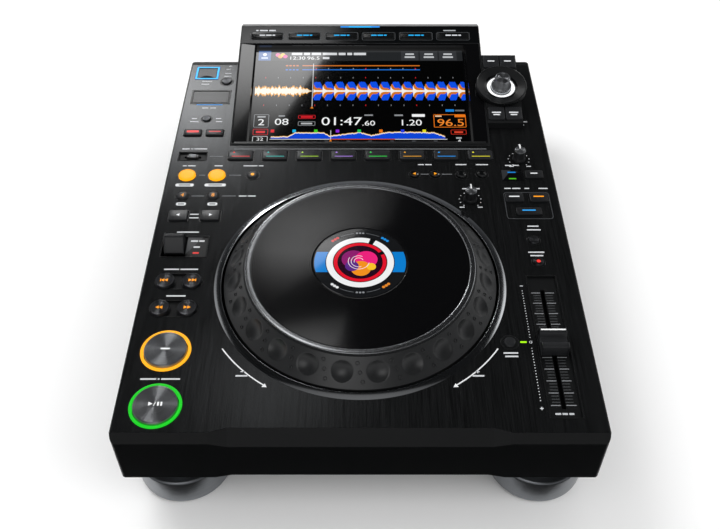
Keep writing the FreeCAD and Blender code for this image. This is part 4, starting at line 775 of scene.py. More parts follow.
@dataclass
class Studio:
    """White room, lamps, reflecting cards and the photo's camera."""

    # Y of the wall that carries most cards, and of the one behind the screen's card.
    wall: float = 1500.0
    far_wall: float = 3500.0
    # Photo pixels: the two ends of each diagonal, where its light is brightest, where it has faded out,
    # and the left end of the mirror.
    platter_line = ((266.8, 309.5), (401.8, 195.7))
    platter_bright = (312.0, 206.0)
    platter_dark = (258.0, 300.0)
    platter_side = (259.0, 290.0)
    screen_line = ((271.0, 135.0), (341.0, 31.6))
    screen_bright = (285.0, 45.0)
    screen_dark = (262.0, 150.0)
    screen_side = (238.0, 141.0)
    # X and Z of the card that lights the trim ring from each side.
    side_card = ((620, 760), (2700, 760), (2700, 3500), (1650, 3500), (1450, 2900), (1200, 2100),
                 (1000, 1500))
    # Height of the world's direction and the colour that reflections find there.
    sky = ((0.2, "#A6A7A9"), (0.42, "#707173"), (0.54, "#38393B"), (0.66, "#1E1F20"))
    # Name, place in metres, size in metres and power of each lamp.
    lamp_list = (("key", (-1.2, 0.9, 1.9), 1.2, 26.0), ("fill", (1.5, -0.9, 1.6), 1.4, 12.0))

    def dress(self) -> None:
        """Build the stage."""
        self.world()
        self.floor()
        self.cards()
        self.lamps()
        self.camera()

    def world(self) -> None:
        """White for the camera, plain grey for soft light, and dark overhead in reflections."""
        world = bpy.data.worlds.new("studio")
        world.use_nodes = True
        tree = world.node_tree
        tree.nodes.clear()
        direction = add(tree, "ShaderNodeTexCoord").outputs["Generated"]
        height = add(tree, "ShaderNodeSeparateXYZ", Vector=direction).outputs["Z"]
        ramp = add(tree, "ShaderNodeValToRGB", Fac=height)
        stops = ramp.color_ramp.elements
        stops[0].position, stops[0].color = 0.0, linear("#D0D0D0")
        stops[1].position, stops[1].color = 0.9, linear("#161718")
        for position, colour in self.sky:
            stop = stops.new(position)
            stop.color = linear(colour)
        path = add(tree, "ShaderNodeLightPath")
        soft = add(tree, "ShaderNodeBackground", Color=linear("#F2F2F2"), Strength=0.85)
        seen = add(tree, "ShaderNodeBackground", Color=(1.0, 1.0, 1.0, 1.0), Strength=1.0)
        mirror = add(tree, "ShaderNodeBackground", Color=ramp.outputs["Color"], Strength=0.9)
        first = add(tree, "ShaderNodeMixShader", in_0=path.outputs["Is Glossy Ray"], in_1=soft.outputs[0],
                    in_2=mirror.outputs[0])
        last = add(tree, "ShaderNodeMixShader", in_0=path.outputs["Is Camera Ray"], in_1=first.outputs[0],
                   in_2=seen.outputs[0])
        add(tree, "ShaderNodeOutputWorld", Surface=last.outputs[0])
        bpy.context.scene.world = world

    def floor(self) -> None:
        """Wide white table top."""
        material = bpy.data.materials.new("white table")
        material.use_nodes = True
        shader = material.node_tree.nodes["Principled BSDF"]
        shader.inputs["Base Color"].default_value = linear("#FAFAFA")
        shader.inputs["Roughness"].default_value = 0.9
        shader.inputs["Specular IOR Level"].default_value = 0.1
        self.plane("studio_floor", [(-8, -8, 0), (8, -8, 0), (8, 8, 0), (-8, 8, 0)], material)

    def plane(self, name: str, corners: Sequence, material: bpy.types.Material) -> bpy.types.Object:
        """Add a flat stage piece from corners in metres."""
        mesh = bpy.data.meshes.new(name)
        mesh.from_pydata([tuple(float(value) for value in corner) for corner in corners], [],
                         [list(range(len(corners)))])
        mesh.materials.append(material)
        thing = bpy.data.objects.new(name, mesh)
        bpy.context.scene.collection.objects.link(thing)
        return thing

    def cards(self) -> None:
        """Cards that only reflections show; the diagonals on the platter and the screen are two edges."""
        self.wedge("studio_card_platter", self.wall, FLAT, JogWheel.platter_up, self.platter_line,
                   self.platter_bright, self.platter_dark, self.platter_side, 2.1)
        self.wedge("studio_card_screen", self.far_wall, SCREEN, ScreenSurround.glass_up, self.screen_line,
                   self.screen_bright, self.screen_dark, self.screen_side, 2.6)
        wall = self.wall
        deck = [(300, wall, 985), (-520, wall, 985), (-860, wall, 1700), (300, wall, 1700)]
        self.card("studio_card_deck", deck, 22.0, (-570.0, wall, 940.0), 500.0)
        for name, side, strength in (("right", 1, 1.25), ("left", -1, 0.5)):
            corners = [(x * side, wall, z) for x, z in self.side_card]
            self.card("studio_card_" + name, corners, strength, (1450.0 * side, wall, 2200.0), 1600.0)
        top = [(-900, -150, 2000), (900, -150, 2000), (900, 450, 2000), (-900, 450, 2000)]
        self.card("studio_card_top", top, 0.22, (0.0, 150.0, 2000.0), 1200.0)
        front = [(-1500, -2000, 1000), (900, -2000, 1000), (900, -1900, 2700), (-1500, -1900, 2700)]
        self.card("studio_card_front", front, 1.6, (-450.0, -1950.0, 1900.0), 1500.0)
        self.flag()

    def flag(self) -> None:
        """Black cloth on the table that only reflections show, so that the front stays dark."""
        material = bpy.data.materials.new("black cloth")
        material.use_nodes = True
        shader = material.node_tree.nodes["Principled BSDF"]
        shader.inputs["Base Color"].default_value = linear("#000000")
        shader.inputs["Specular IOR Level"].default_value = 0.0
        shader.inputs["Roughness"].default_value = 1.0
        corners = [(-0.9, -1.2, 0.0004), (0.9, -1.2, 0.0004), (0.9, -0.232, 0.0004), (-0.9, -0.232, 0.0004)]
        self.hide(self.plane("studio_flag", corners, material))

    def hide(self, thing: bpy.types.Object) -> None:
        """Leave a stage piece to reflections alone."""
        thing.visible_camera = False
        thing.visible_diffuse = False
        thing.visible_shadow = False
        thing.visible_transmission = False

    def wedge(self, name: str, wall: float, slope: Slope, up: float, edge: Sequence,
              bright: tuple[float, float], dark: tuple[float, float], side: tuple[float, float],
              strength: float) -> None:
        """Add a card whose reflection ends in a diagonal line that the photo shows.

        Args:
            name: Name of the card.
            wall: Y of the wall that carries it.
            slope: The mirror.
            up: Height of the mirror over the slope's plane.
            edge: Two photo pixels on the line, the lower one first.
            bright: Photo pixel where the reflection is brightest.
            dark: Photo pixel where it has faded out.
            side: Photo pixel at the left end of the mirror.
            strength: Strength of its light.
        """
        low, high = (PHOTO.mirrored(*pixel, slope, up, wall) for pixel in edge)
        slant = low - high
        first, last = high - slant * 0.05, low + slant * 0.15
        centre, end, limit = (PHOTO.mirrored(*pixel, slope, up, wall) for pixel in (bright, dark, side))
        reach = float(np.linalg.norm(end - centre))
        left = float(limit[0])
        self.card(name, [first, (left, wall, first[2]), (left, wall, last[2]), last], strength, centre, reach)

    def card(self, name: str, corners: Sequence, strength: float, centre: Sequence, reach: float) -> None:
        """Add a card that is seen by reflections alone and fades away from a centre.

        Args:
            name: Name of the card.
            corners: Its corners in millimetres.
            strength: Strength of its light at the centre.
            centre: Brightest point in millimetres.
            reach: Distance in millimetres at which its light has faded out.
        """
        material = bpy.data.materials.new(name)
        material.use_nodes = True
        tree = material.node_tree
        tree.nodes.clear()
        place = add(tree, "ShaderNodeTexCoord").outputs["Object"]
        away = add(tree, "ShaderNodeVectorMath", {"operation": "DISTANCE"}, in_0=place,
                   in_1=[value * METRE for value in centre]).outputs["Value"]
        fade = add(tree, "ShaderNodeMapRange", {"interpolation_type": "SMOOTHSTEP"}, Value=away, From_Min=0.0,
                   From_Max=reach * METRE, To_Min=strength, To_Max=0.0).outputs[0]
        glow = add(tree, "ShaderNodeEmission", Color=(1.0, 1.0, 1.0, 1.0), Strength=fade)
        clear = add(tree, "ShaderNodeBsdfTransparent", Color=(1.0, 1.0, 1.0, 1.0))
        both = add(tree, "ShaderNodeAddShader", in_0=glow.outputs[0], in_1=clear.outputs[0])
        add(tree, "ShaderNodeOutputMaterial", Surface=both.outputs[0])
        self.hide(self.plane(name, [np.array(corner) * METRE for corner in corners], material))

    def lamps(self) -> None:
        """Two soft area lamps."""
        for name, place, size, power in self.lamp_list:
            lamp = bpy.data.lights.new("studio_" + name, "AREA")
            lamp.size = size
            lamp.energy = power
            thing = bpy.data.objects.new("studio_" + name, lamp)
            thing.location = place
            aim = np.array((0.0, 0.0, 0.06)) - np.array(place)
            flat = math.hypot(aim[0], aim[1])
            thing.rotation_euler = (math.atan2(flat, -aim[2]), 0.0, math.atan2(-aim[0], aim[1]))
            thing.visible_glossy = False
            bpy.context.scene.collection.objects.link(thing)

    def camera(self) -> None:
        """Camera of the photo."""
        lens = bpy.data.cameras.new("photo_camera")
        lens.sensor_width = 36.0
        lens.lens = PHOTO.focal * lens.sensor_width / PHOTO.width
        lens.shift_x = (PHOTO.width / 2 - PHOTO.centre_x) / PHOTO.width
        lens.shift_y = (PHOTO.centre_y - PHOTO.rows / 2) / PHOTO.width
        thing = bpy.data.objects.new("photo_camera", lens)
        thing.location = (0.0, PHOTO.back * METRE, PHOTO.height * METRE)
        thing.rotation_euler = (math.radians(90 - PHOTO.pitch), 0.0, 0.0)
        bpy.context.scene.collection.objects.link(thing)
        bpy.context.scene.camera = thing
        bpy.context.scene.view_settings.view_transform = "Standard"


@dataclass
class Frame:
    """The CAD pieces that are shown as they are."""

    own_finish: dict[str, Finish] = field(default_factory=dict)

    def dress(self) -> None:
        """Give every CAD piece its procedural material."""
        for name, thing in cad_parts.items():
            for index, material in enumerate(thing.data.materials):
                slot = material.name.split(".")[0] if material else ""
                finish = self.own_finish.get(name) or SLOT_FINISHES.get(slot)
                if finish is None:
                    log.warning("no finish for %s slot %s", name, slot)
                    finish = CASE
                thing.data.materials[index] = Paint.of(finish, True)


@dataclass
class JogWheel:
    """Trim ring, dial, platter and the round display in the middle."""

    dimples: int = 24
    steps_per_dimple: int = 40
    rows: int = 54
    dimple_radius: float = 7.8
    dimple_depth: float = 2.1
    dimple_at: float = 94.6
    outer: float = 103.0
    outer_rise: float = 0.8
    inner: float = 87.0
    inner_rise: float = 17.2
    lip_radius: float = 84.5
    lip_drop: float = 2.4
    knurls: int = 300
    # A dimple's rim is blended from this share of its radius inwards, over this band.
    rim_share: float = 1.06
    rim_band: float = 0.14
    # Pips: shares of the run between the dimples, and steps to the side of the middle one.
    pip_places = ((0.24, 0.7), (0.52, 0.0), (0.80, -0.7))
    pip_step: float = 2.6
    # Radii and heights over the deck.
    platter_up: float = 18.0
    groove_up: float = 17.988
    groove_first: float = 80.6
    groove_last: float = 37.5
    groove_pitch: float = 1.3
    # Direction, reach and size of each petal of the picture, with its colour.
    petals = ((150, 5.6, 9.2, "#8E1C6E"), (30, 5.4, 8.6, "#F0227E"), (275, 6.6, 7.6, "#F7941E"),
              (215, 7.4, 5.2, "#5B2A86"), (330, 9.6, 3.6, "#FFC629"))

    def build(self) -> None:
        """Make every piece of the wheel."""
        self.trim_ring()
        self.dial()
        self.pips()
        self.platter()
        self.display()

    def trim_ring(self) -> None:
        """Fixed metal ring round the dial."""
        shape = Shape("jog_trim_ring_turned")
        shape.grid(turned([(110.4, -0.4, 0), (110.4, 0.02, 0), (105.2, 1.0, 0.35), (104.9, 0.6, 0.2),
                           (104.9, -9.0, 0)], *JOG, DECK, 256), TRIM)
        shape.build("chassis", ["jog_trim_ring"], "silver_trim")

    def cone(self, share: np.ndarray) -> tuple[np.ndarray, np.ndarray]:
        """Radius and height of the dial's sloping face at shares of its run."""
        return (self.outer + (self.inner - self.outer) * share,
                self.outer_rise + (self.inner_rise - self.outer_rise) * share)

    def lean(self) -> tuple[float, float, float]:
        """Length of the dial's sloping face, and the outward and upward parts of its normal."""
        run = math.hypot(self.outer - self.inner, self.inner_rise - self.outer_rise)
        return run, (self.inner_rise - self.outer_rise) / run, (self.outer - self.inner) / run

    def dial(self) -> None:
        """Sloping ring with round finger dimples.

        The face is a cone; inside each dimple a point sinks along the cone's normal by the depth times
        one less the square of its distance from the dimple's centre over the dimple's radius, and the
        rim of each dimple is blended over a narrow band.
        """
        columns = self.dimples * self.steps_per_dimple
        share = np.linspace(0, 1, self.rows)[:, None]
        radius, rise = self.cone(share)
        turn = np.arange(columns) * FULL_TURN / columns
        run, out, over = self.lean()
        pitch = FULL_TURN / self.dimples
        off = turn % pitch - pitch / 2
        centre_share = (self.outer - self.dimple_at) / (self.outer - self.inner)
        across = off[None, :] * radius
        along = (share - centre_share) * run
        ratio = np.sqrt(across ** 2 + along ** 2) / self.dimple_radius
        bowl = self.dimple_depth * np.clip(1 - ratio ** 2, 0, None)
        soft = np.clip((self.rim_share - ratio) / self.rim_band, 0, 1)
        sink = np.where(ratio < self.rim_share, bowl * soft ** 0.5, 0)
        radius = radius - sink * out
        rise = rise - sink * over
        rise = np.broadcast_to(rise, radius.shape)
        cone = np.stack([radius * np.cos(turn), radius * np.sin(turn), rise], axis=-1)
        centre = np.array((JOG[0], JOG[1], DECK))
        skirt = turned([(self.outer, -4.0, 0), (self.outer, self.outer_rise - 0.05, 0)], *JOG, DECK, columns)
        top = turned([(self.inner - 0.1, self.inner_rise, 0), (self.lip_radius, self.inner_rise, 0.2),
                      (self.lip_radius, self.inner_rise - self.lip_drop, 0)], *JOG, DECK, columns)
        shape = Shape("jog_dial_moulded")
        shape.grid(np.concatenate([skirt, cone + centre, top]), DIAL)
        shape.build("jog_wheel", ["jog_dial"], "dial_plastic", sharp=50)

    def pips(self) -> None:
        """Three small raised rings on a slanted line between each pair of dimples."""
        shape = Shape("jog_dial_pips")
        _, out, over = self.lean()
        middle = np.array((JOG[0], JOG[1], DECK))
        turn = np.arange(12) * FULL_TURN / 12
        line = eased([(1.5, 0.0, 0), (1.4, 0.55, 0.25), (0.9, 0.55, 0.2), (0.85, 0.05, 0)], 2)
        for index in range(self.dimples):
            for share, shift in self.pip_places:
                radius, rise = self.cone(np.array(share))
                angle = index * FULL_TURN / self.dimples + shift * self.pip_step / float(radius)
                outward = np.array((math.cos(angle), math.sin(angle), 0.0))
                normal = outward * out + np.array((0, 0, over))
                side = np.array((-math.sin(angle), math.cos(angle), 0.0))
                upward = np.cross(normal, side)
                centre = middle + outward * float(radius) + np.array((0, 0, float(rise)))
                ring = (line[:, 0, None, None] * (np.cos(turn)[None, :, None] * side
                                                  + np.sin(turn)[None, :, None] * upward)
                        + line[:, 1, None, None] * normal)
                shape.grid(centre + ring, DIAL, end_cap=True)
        shape.build("jog_wheel", sharp=40)

    def platter(self) -> None:
        """Gloss top with fine grooves, inside a knurled band and a bright rim."""
        shape = Shape("jog_platter_turned")
        knurl = turned([(86.9, 17.25, 0), (86.9, 17.7, 0), (85.9, 18.1, 0)], *JOG, DECK, 4 * self.knurls)
        centre = np.array((JOG[0], JOG[1], 0.0))
        teeth = np.where(np.arange(4 * self.knurls) % 4 < 2, 1.0, 0.9955)[None, :, None]
        ridged = (knurl - centre) * np.concatenate([teeth, teeth, np.ones_like(teeth)], axis=2) + centre
        shape.grid(ridged, DIAL)
        shape.grid(turned([(85.9, 17.2, 0), (85.9, 18.7, 0.5), (81.8, 18.7, 0.6), (81.7, 18.0, 0)],
                          *JOG, DECK, 256), SILVER)
        grooves = [(81.7, 18.0, 0)]
        for place in np.arange(self.groove_first, self.groove_last, -self.groove_pitch):
            radius = float(place)
            grooves.extend([(radius, self.platter_up, 0), (radius - 0.25, self.groove_up, 0),
                            (radius - 0.5, self.platter_up, 0)])
        grooves.extend([(35.5, 18.0, 0.2), (35.5, 15.4, 0)])
        shape.grid(turned(grooves, *JOG, DECK, 256), PLATTER)
        shape.build("jog_wheel", ["jog_platter"], "platter_plastic", sharp=60)

    def display(self) -> None:
        """Round display with a generic picture of rings and petals."""
        x, y = JOG
        lens = Shape("jog_display_lens")
        lens.grid(turned([(35.2, 15.6, 0), (35.2, 18.0, 0.15), (0.2, 18.0, 0)], x, y, DECK, 128), LENS,
                  end_cap=True)
        lens.build("chassis", ["jog_display"], "lens")
        marks = Marks("jog_display_picture", FLAT, 18.02, PICTURE)
        marks.dot(x, y, 34.8, "#141517", columns=96)
        for side in (-1, 1):
            turn = np.radians(np.linspace(-17.5, 17.5, 9))
            arc = np.column_stack([np.cos(turn), np.sin(turn)]) * 34.2
            outline = np.array([*arc, (18.0, arc[-1][1]), (18.0, arc[0][1])]) * (side, 1)
            marks.polygon(outline[::side] + (x, y), "#0A7FD2", 0.01)
        marks.dot(x, y, 25.9, "#08090B", 0.02, 96)
        marks.arc(x, y, 20.4, 25.3, "#F4F5F6", 72.0, 422.0, 0.03, 120)
        marks.arc(x, y, 16.9, 19.7, "#E3122B", 34.0, 384.0, 0.03, 120)
        marks.dot(x, y, 16.4, "#25041C", 0.03, 96)
        for index, (turn, reach, width, tint) in enumerate(self.petals):
            angle = math.radians(turn)
            marks.dot(x + reach * math.cos(angle), y + reach * math.sin(angle), width * 0.98, tint,
                      0.04 + 0.005 * index, 48)
        for radius, start, end in ((3.2, 20, 200), (5.4, 60, 290), (7.6, 150, 350)):
            marks.arc(x - 1.0, y + 0.6, radius, radius + 0.5, "#FBE9F1", start, end, 0.065, 40)
        for angle, tint, size in ((129, "#D22B2B", 1.2), (90, "#8A8D91", 0.9), (51, "#1E8FE0", 1.2),
                                  (232, "#E6E7E9", 1.2), (270, "#8A8D91", 0.9), (309, "#E98A2B", 1.2)):
            for step in (-4.5, 0.0, 4.5):
                turn = math.radians(angle + step)
                marks.dot(x + 30.2 * math.cos(turn), y + 30.2 * math.sin(turn), size, tint, 0.02, 12)
        for start in (61, 99, 241, 279):
            marks.arc(x, y, 30.0, 30.35, "#6E7175", start, start + 20, 0.02, 24)
        marks.build()


@dataclass
class LargeButton:
    """A large spun-metal button."""

    name: str
    y: float
    x: float = -137.3
    radius: float = 15.2

    def build(self) -> None:
        """Make the cap."""
        cap = Shape(self.name + "_cap")
        profile = [(self.radius, -4.0, 0), (self.radius, 1.9, 0.5), (self.radius - 0.9, 2.6, 0.35),
                   (self.radius - 1.7, 2.45, 0.2), (0.15, 2.6, 0)]
        cap.grid(turned(profile, self.x, self.y, DECK, 128), SPUN, end_cap=True)
        cap.build(self.name, [self.name], "spun_metal", sharp=60)


@dataclass
class TransportButtons:
    """Cue and play buttons with their printed signs."""

    # Radius, height over the deck and rounding of each corner of a lit ring.
    ring = ((17.9, -2.0, 0), (17.9, 0.8, 0.45), (15.75, 0.8, 0.45), (15.75, -2.0, 0))
    x: float = -137.3
    cue: float = -155.2
    play: float = -201.4

    def build(self) -> None:
        """Make both buttons, the marks on them and the lit rings round them."""
        x, y = self.x, self.play
        rings = Shape("button_light_rings_lit")
        for name, place, light in (("cue_button", self.cue, "#FFAE1C"), ("play_button", y, "#12BE1E")):
            LargeButton(name, place).build()
            rings.grid(turned(self.ring, x, place, DECK, 128), LAMP, tint=light)
        rings.build("chassis", ["button_light_rings"], "light_ring")
        sign = Marks("play_button_sign", FLAT, 2.63, PRINT)
        white = "#F2F3F4"
        sign.triangle(x - 3.4, y, 1.9, 0, white)
        slash = [(x - 1.0, y - 1.6), (x - 0.4, y - 1.6), (x + 0.8, y + 1.6), (x + 0.2, y + 1.6)]
        sign.polygon(slash, white)
        for shift in (2.2, 4.4):
            sign.bar(x + shift, y, 1.2, 3.2, white)
        sign.build("play_button")
        bar = Marks("cue_button_sign", FLAT, 2.63, PRINT)
        bar.bar(x, self.cue, 6.6, 1.3, white, 0.3)
        bar.build("cue_button")


def lid_of(node: str, ears: float = 0.0) -> tuple[float, float, float, float, float]:
    """Measure a CAD node.

    Args:
        node: Name of the node.
        ears: How far hidden ears reach out on each side along X.

    Returns:
        Centre x, centre y, width, depth and top height over the deck, in millimetres.
    """
    low, high = (np.array(corner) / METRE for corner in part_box(node))
    return (float(low[0] + high[0]) / 2, float(low[1] + high[1]) / 2, float(high[0] - low[0]) - 2 * ears,
            float(high[1] - low[1]), float(high[2]) - DECK)


EAR = 1.4


class CapStyle(Enum):
    """Looks of a small round button."""

    LIT = "lit"
    DOME = "dome"
    GLOSS = "gloss"
    METAL = "metal"
    SPUN = "spun"
    PLAIN = "plain"


@dataclass
class RoundButton:
    """A small round button, its sign and the dark ring round it, which is painted shade of the gap that it
    sits in.

    Attributes:
        node: CAD node that it stands for.
        style: Its looks.
        sign: What is lit or printed on it.
        tint: Colour of the sign.
        ears: How far the CAD button's hidden ears reach out.
        collar: Width of the dark ring round it.
    """

    node: str
    style: CapStyle
    sign: str = ""
    tint: str = "#F7A21B"
    ears: float = EAR
    collar: float = 0.9

    def build(self) -> None:
        """Make the cap, its sign and the dark ring of painted gap shade round it."""
        x, y, _, depth, top = lid_of(self.node, self.ears)
        radius = depth / 2
        cap = Shape(self.node + "_cap")
        wall = [(radius, -3.0, 0), (radius, top - 0.9, 0.3)]
        crowns = {
            CapStyle.LIT: ([(radius, top - 0.5, 0.5), (radius - 1.0, top - 0.05, 0.7), (0.1, top, 0)], LAMP),
            CapStyle.DOME: ([(radius - 0.9, top - 0.15, 0.7), (radius * 0.5, top - 0.02, 1.0), (0.1, top, 0)],
                            GREY_KEY),
            CapStyle.GLOSS: ([(radius - 0.4, top, 0.35), (radius * 0.5, top - 0.5, 1.0), (0.1, top - 0.6, 0)],
                             GLOSS_CAP),
            CapStyle.METAL: ([(radius - 0.4, top, 0.35), (0.1, top - 0.3, 0)], DARK_SPUN),
            CapStyle.SPUN: ([(radius - 0.2, top, 0.2), (radius - 0.9, top, 0.25),
                             (radius - 1.5, top - 0.4, 0.3), (0.1, top - 0.25, 0)], DARK_SPUN),
            CapStyle.PLAIN: ([(radius - 0.6, top, 0.5), (0.1, top, 0)], GREY_KEY),
        }
        crown, finish = crowns[self.style]
        cap.grid(turned(wall + crown, x, y, DECK, 48), finish, end_cap=True, tint=self.tint)
        cap.build(self.node, [self.node], sharp=55)
        # Dark ring round the cap: painted shade of the gap round the button, with a small raised lip.
        collar = Shape(self.node + "_collar")
        outer = radius + 0.3 + self.collar
        profile = [(outer + 0.25, 0.0, 0), (outer, 0.16, 0.1), (outer - 0.1, 0.02, 0),
                   (radius + 0.3, 0.02, 0), (radius + 0.3, -2.0, 0)]
        collar.grid(turned(profile, x, y, DECK, 48), GAP_SHADE)
        collar.build("chassis")
        if self.sign:
            self.mark(x, y, top)

    def mark(self, x: float, y: float, top: float) -> None:
        """Add the sign: a dot, a number, or triangles with or without a bar."""
        lift = -0.05 if self.style is CapStyle.SPUN else 0.04
        marks = Marks(self.node + "_sign", FLAT, top + lift, LAMP)
        if self.sign == "dot":
            marks.dot(x, y, 1.55, self.tint)
        elif self.sign.isdigit():
            marks.number(self.sign, x, y, 3.9, self.tint)
        else:
            way = 0 if ">" in self.sign else 180
            side = 1 if way == 0 else -1
            count = self.sign.count(">") + self.sign.count("<")
            for index in range(count):
                place = x + (index - (count - 1) / 2) * 2.7 * side - 0.2 * side
                marks.triangle(place, y, 1.7, way, self.tint)
            if "|" in self.sign:
                marks.bar(x + side * (count * 1.35 + 0.35), y, 0.7, 2.7, self.tint)
        marks.build(self.node)


@dataclass
class Key:
    """An oblong key with a lit or printed sign.

    Attributes:
        node: CAD node that it stands for.
        finish: Finish of the key.
        bar: Width of a lit bar on it, or nothing.
        tint: Colour of the sign.
        way: Direction of a triangle on it in degrees, or nothing.
        bar_depth: Depth of the lit bar.
    """

    node: str
    finish: Finish
    bar: float = 0.0
    tint: str = "#E8EAEC"
    way: float | None = None
    bar_depth: float = 1.3

    def build(self) -> None:
        """Make the key, its sign and the black frame of painted gap shade round it."""
        x, y, width, depth, top = lid_of(self.node, EAR)
        shape = Shape(self.node + "_key")
        shape.grid(slab(x, y, width, depth, -3.0, top, 1.0, 0.5), self.finish, end_cap=True)
        shape.build(self.node, [self.node], "key_plastic", sharp=50)
        marks = Marks(self.node + "_sign", FLAT, top + 0.03, LAMP)
        if self.bar:
            marks.bar(x, y + depth * 0.08, self.bar, self.bar_depth, self.tint, 0.3)
        if self.way is not None:
            marks.triangle(x, y, 1.8, self.way, self.tint)
        if self.bar or self.way is not None:
            marks.build(self.node)
        # Flat black frame round the key: painted shade of the gap that the key sits in.
        well = Marks(self.node + "_well", FLAT, 0.015, GAP_SHADE)
        well.frame(x, y, width + 2.2, depth + 2.2, 0.75, "#000000", 1.4)
        well.build()


@dataclass
class HotCueKeys:
    """Eight grey keys in a row, each with a small mark and a coloured line."""

    first: float = -104.0
    pitch: float = 29.8
    along: float = 57.0
    width: float = 21.2
    depth: float = 11.6
    tints: Sequence[str] = ("#F03A36", "#22B8B0", "#A6D820", "#AE82E8", "#28D848", "#E8A01C", "#1E96F0",
                            "#E8E02A")

    def build(self) -> None:
        """Make the keys, their marks and the black frames of painted gap shade round them."""
        shape = Shape("hot_cue_keys_moulded")
        marks = Marks("hot_cue_key_marks", FLAT, 1.63, LAMP)
        # Flat black frames round the keys: painted shade of the gaps that they sit in.
        wells = Marks("hot_cue_wells", FLAT, 0.015, GAP_SHADE)
        for index, tint in enumerate(self.tints):
            x = self.first + index * self.pitch
            shape.grid(slab(x, self.along, self.width, self.depth, -3.0, 1.6, 1.2, 0.6), GREY_KEY,
                       end_cap=True)
            marks.bar(x + 0.4, self.along - 2.4, self.width * 0.74, 0.62, tint)
            marks.triangle(x - self.width * 0.28, self.along + 2.9, 1.2, 90, tint)
            wells.frame(x, self.along, self.width + 2.4, self.depth + 2.4, 0.8, "#000000", 1.6)
        shape.build("hot_cue_keys", ["hot_cue_keys"], "grey_key", sharp=50)
        marks.build("hot_cue_keys")
        wells.build()


@dataclass
class ScreenKeys:
    """Six gloss keys over the screen with a lit bar each."""

    pitch: float = 35.8
    along: float = 134.7
    width: float = 30.3
    depth: float = 8.9

    def build(self) -> None:
        """Make the keys, their lit bars and the thin brackets round them."""
        shape = Shape("screen_keys_moulded")
        marks = Marks("screen_key_marks", SCREEN, 0.83, LAMP)
        rims = Marks("screen_key_rims", SCREEN, 0.05, PRINT)
        for index in range(6):
            x = (index - 2.5) * self.pitch
            shape.grid(slab(x, self.along, self.width, self.depth, -2.5, 0.8, 1.6, 0.5, SCREEN), GLOSS_KEY,
                       end_cap=True)
            tint = "#C9CCD0" if index in (0, 5) else "#0FA3E0"
            for part, size in ((-4.6, 5.2), (1.6, 5.4), (6.4, 2.6)):
                marks.bar(x + part, self.along + 0.5, size, 1.5, tint, 0.3)
            rims.frame(x, self.along - 0.1, self.width + 1.9, self.depth + 1.9, 0.5, "#3C3E41", 2.0)
        shape.build("screen_keys", ["screen_keys"], "key_plastic", sharp=50)
        marks.build("screen_keys")
        for part, size in ((-99.5, 2.2), (-93.2, 7.5), (-84.8, 6.4)):
            rims.bar(part, 142.3, size, 1.7, "#C9CCD0", 0.4)
        rims.bar(86.5, 142.3, 12.0, 1.4, "#9FA2A6", 0.3)
        rims.build()
        glow = Marks("screen_status_bar", SCREEN, 0.05, LAMP)
        glow.bar(0.0, 147.3, 38.0, 1.7, "#0A8CF0")
        glow.bar(0.0, 147.3, 22.0, 1.7, "#13B4FF", lift=0.01)
        glow.build()


@dataclass
class ScreenSurround:
    """Piano-black border round the glass and the strip under the screen keys."""

    lift: float = 0.03
    mouth: tuple[float, float, float] = (113.3, 3.1, 124.7)
    glass: tuple[float, float, float] = (99.4, 4.4, 122.6)
    shoulder: tuple[float, float, float] = (100.6, 4.3, 122.8)
    glass_up: float = -4.9

    def build(self) -> None:
        """Make the four sloping faces and the strip."""
        shape = Shape("screen_surround")
        rows = []
        levels = ((self.mouth, self.lift), (self.shoulder, -0.35), (self.glass, -4.93))
        for (half, front, rear), up in levels:
            rows.append([(half, front, up), (half, rear, up), (-half, rear, up), (-half, front, up)])
        shape.grid(SCREEN.place(np.array(rows)), BEZEL)
        strip = [(-114.2, 125.6), (114.2, 125.6), (114.2, 147.6), (-114.2, 147.6)]
        shape.flat(SCREEN.place(np.array([(x, along, self.lift) for x, along in strip])), GLOSS_CAP)
        shape.build("chassis", sharp=10)


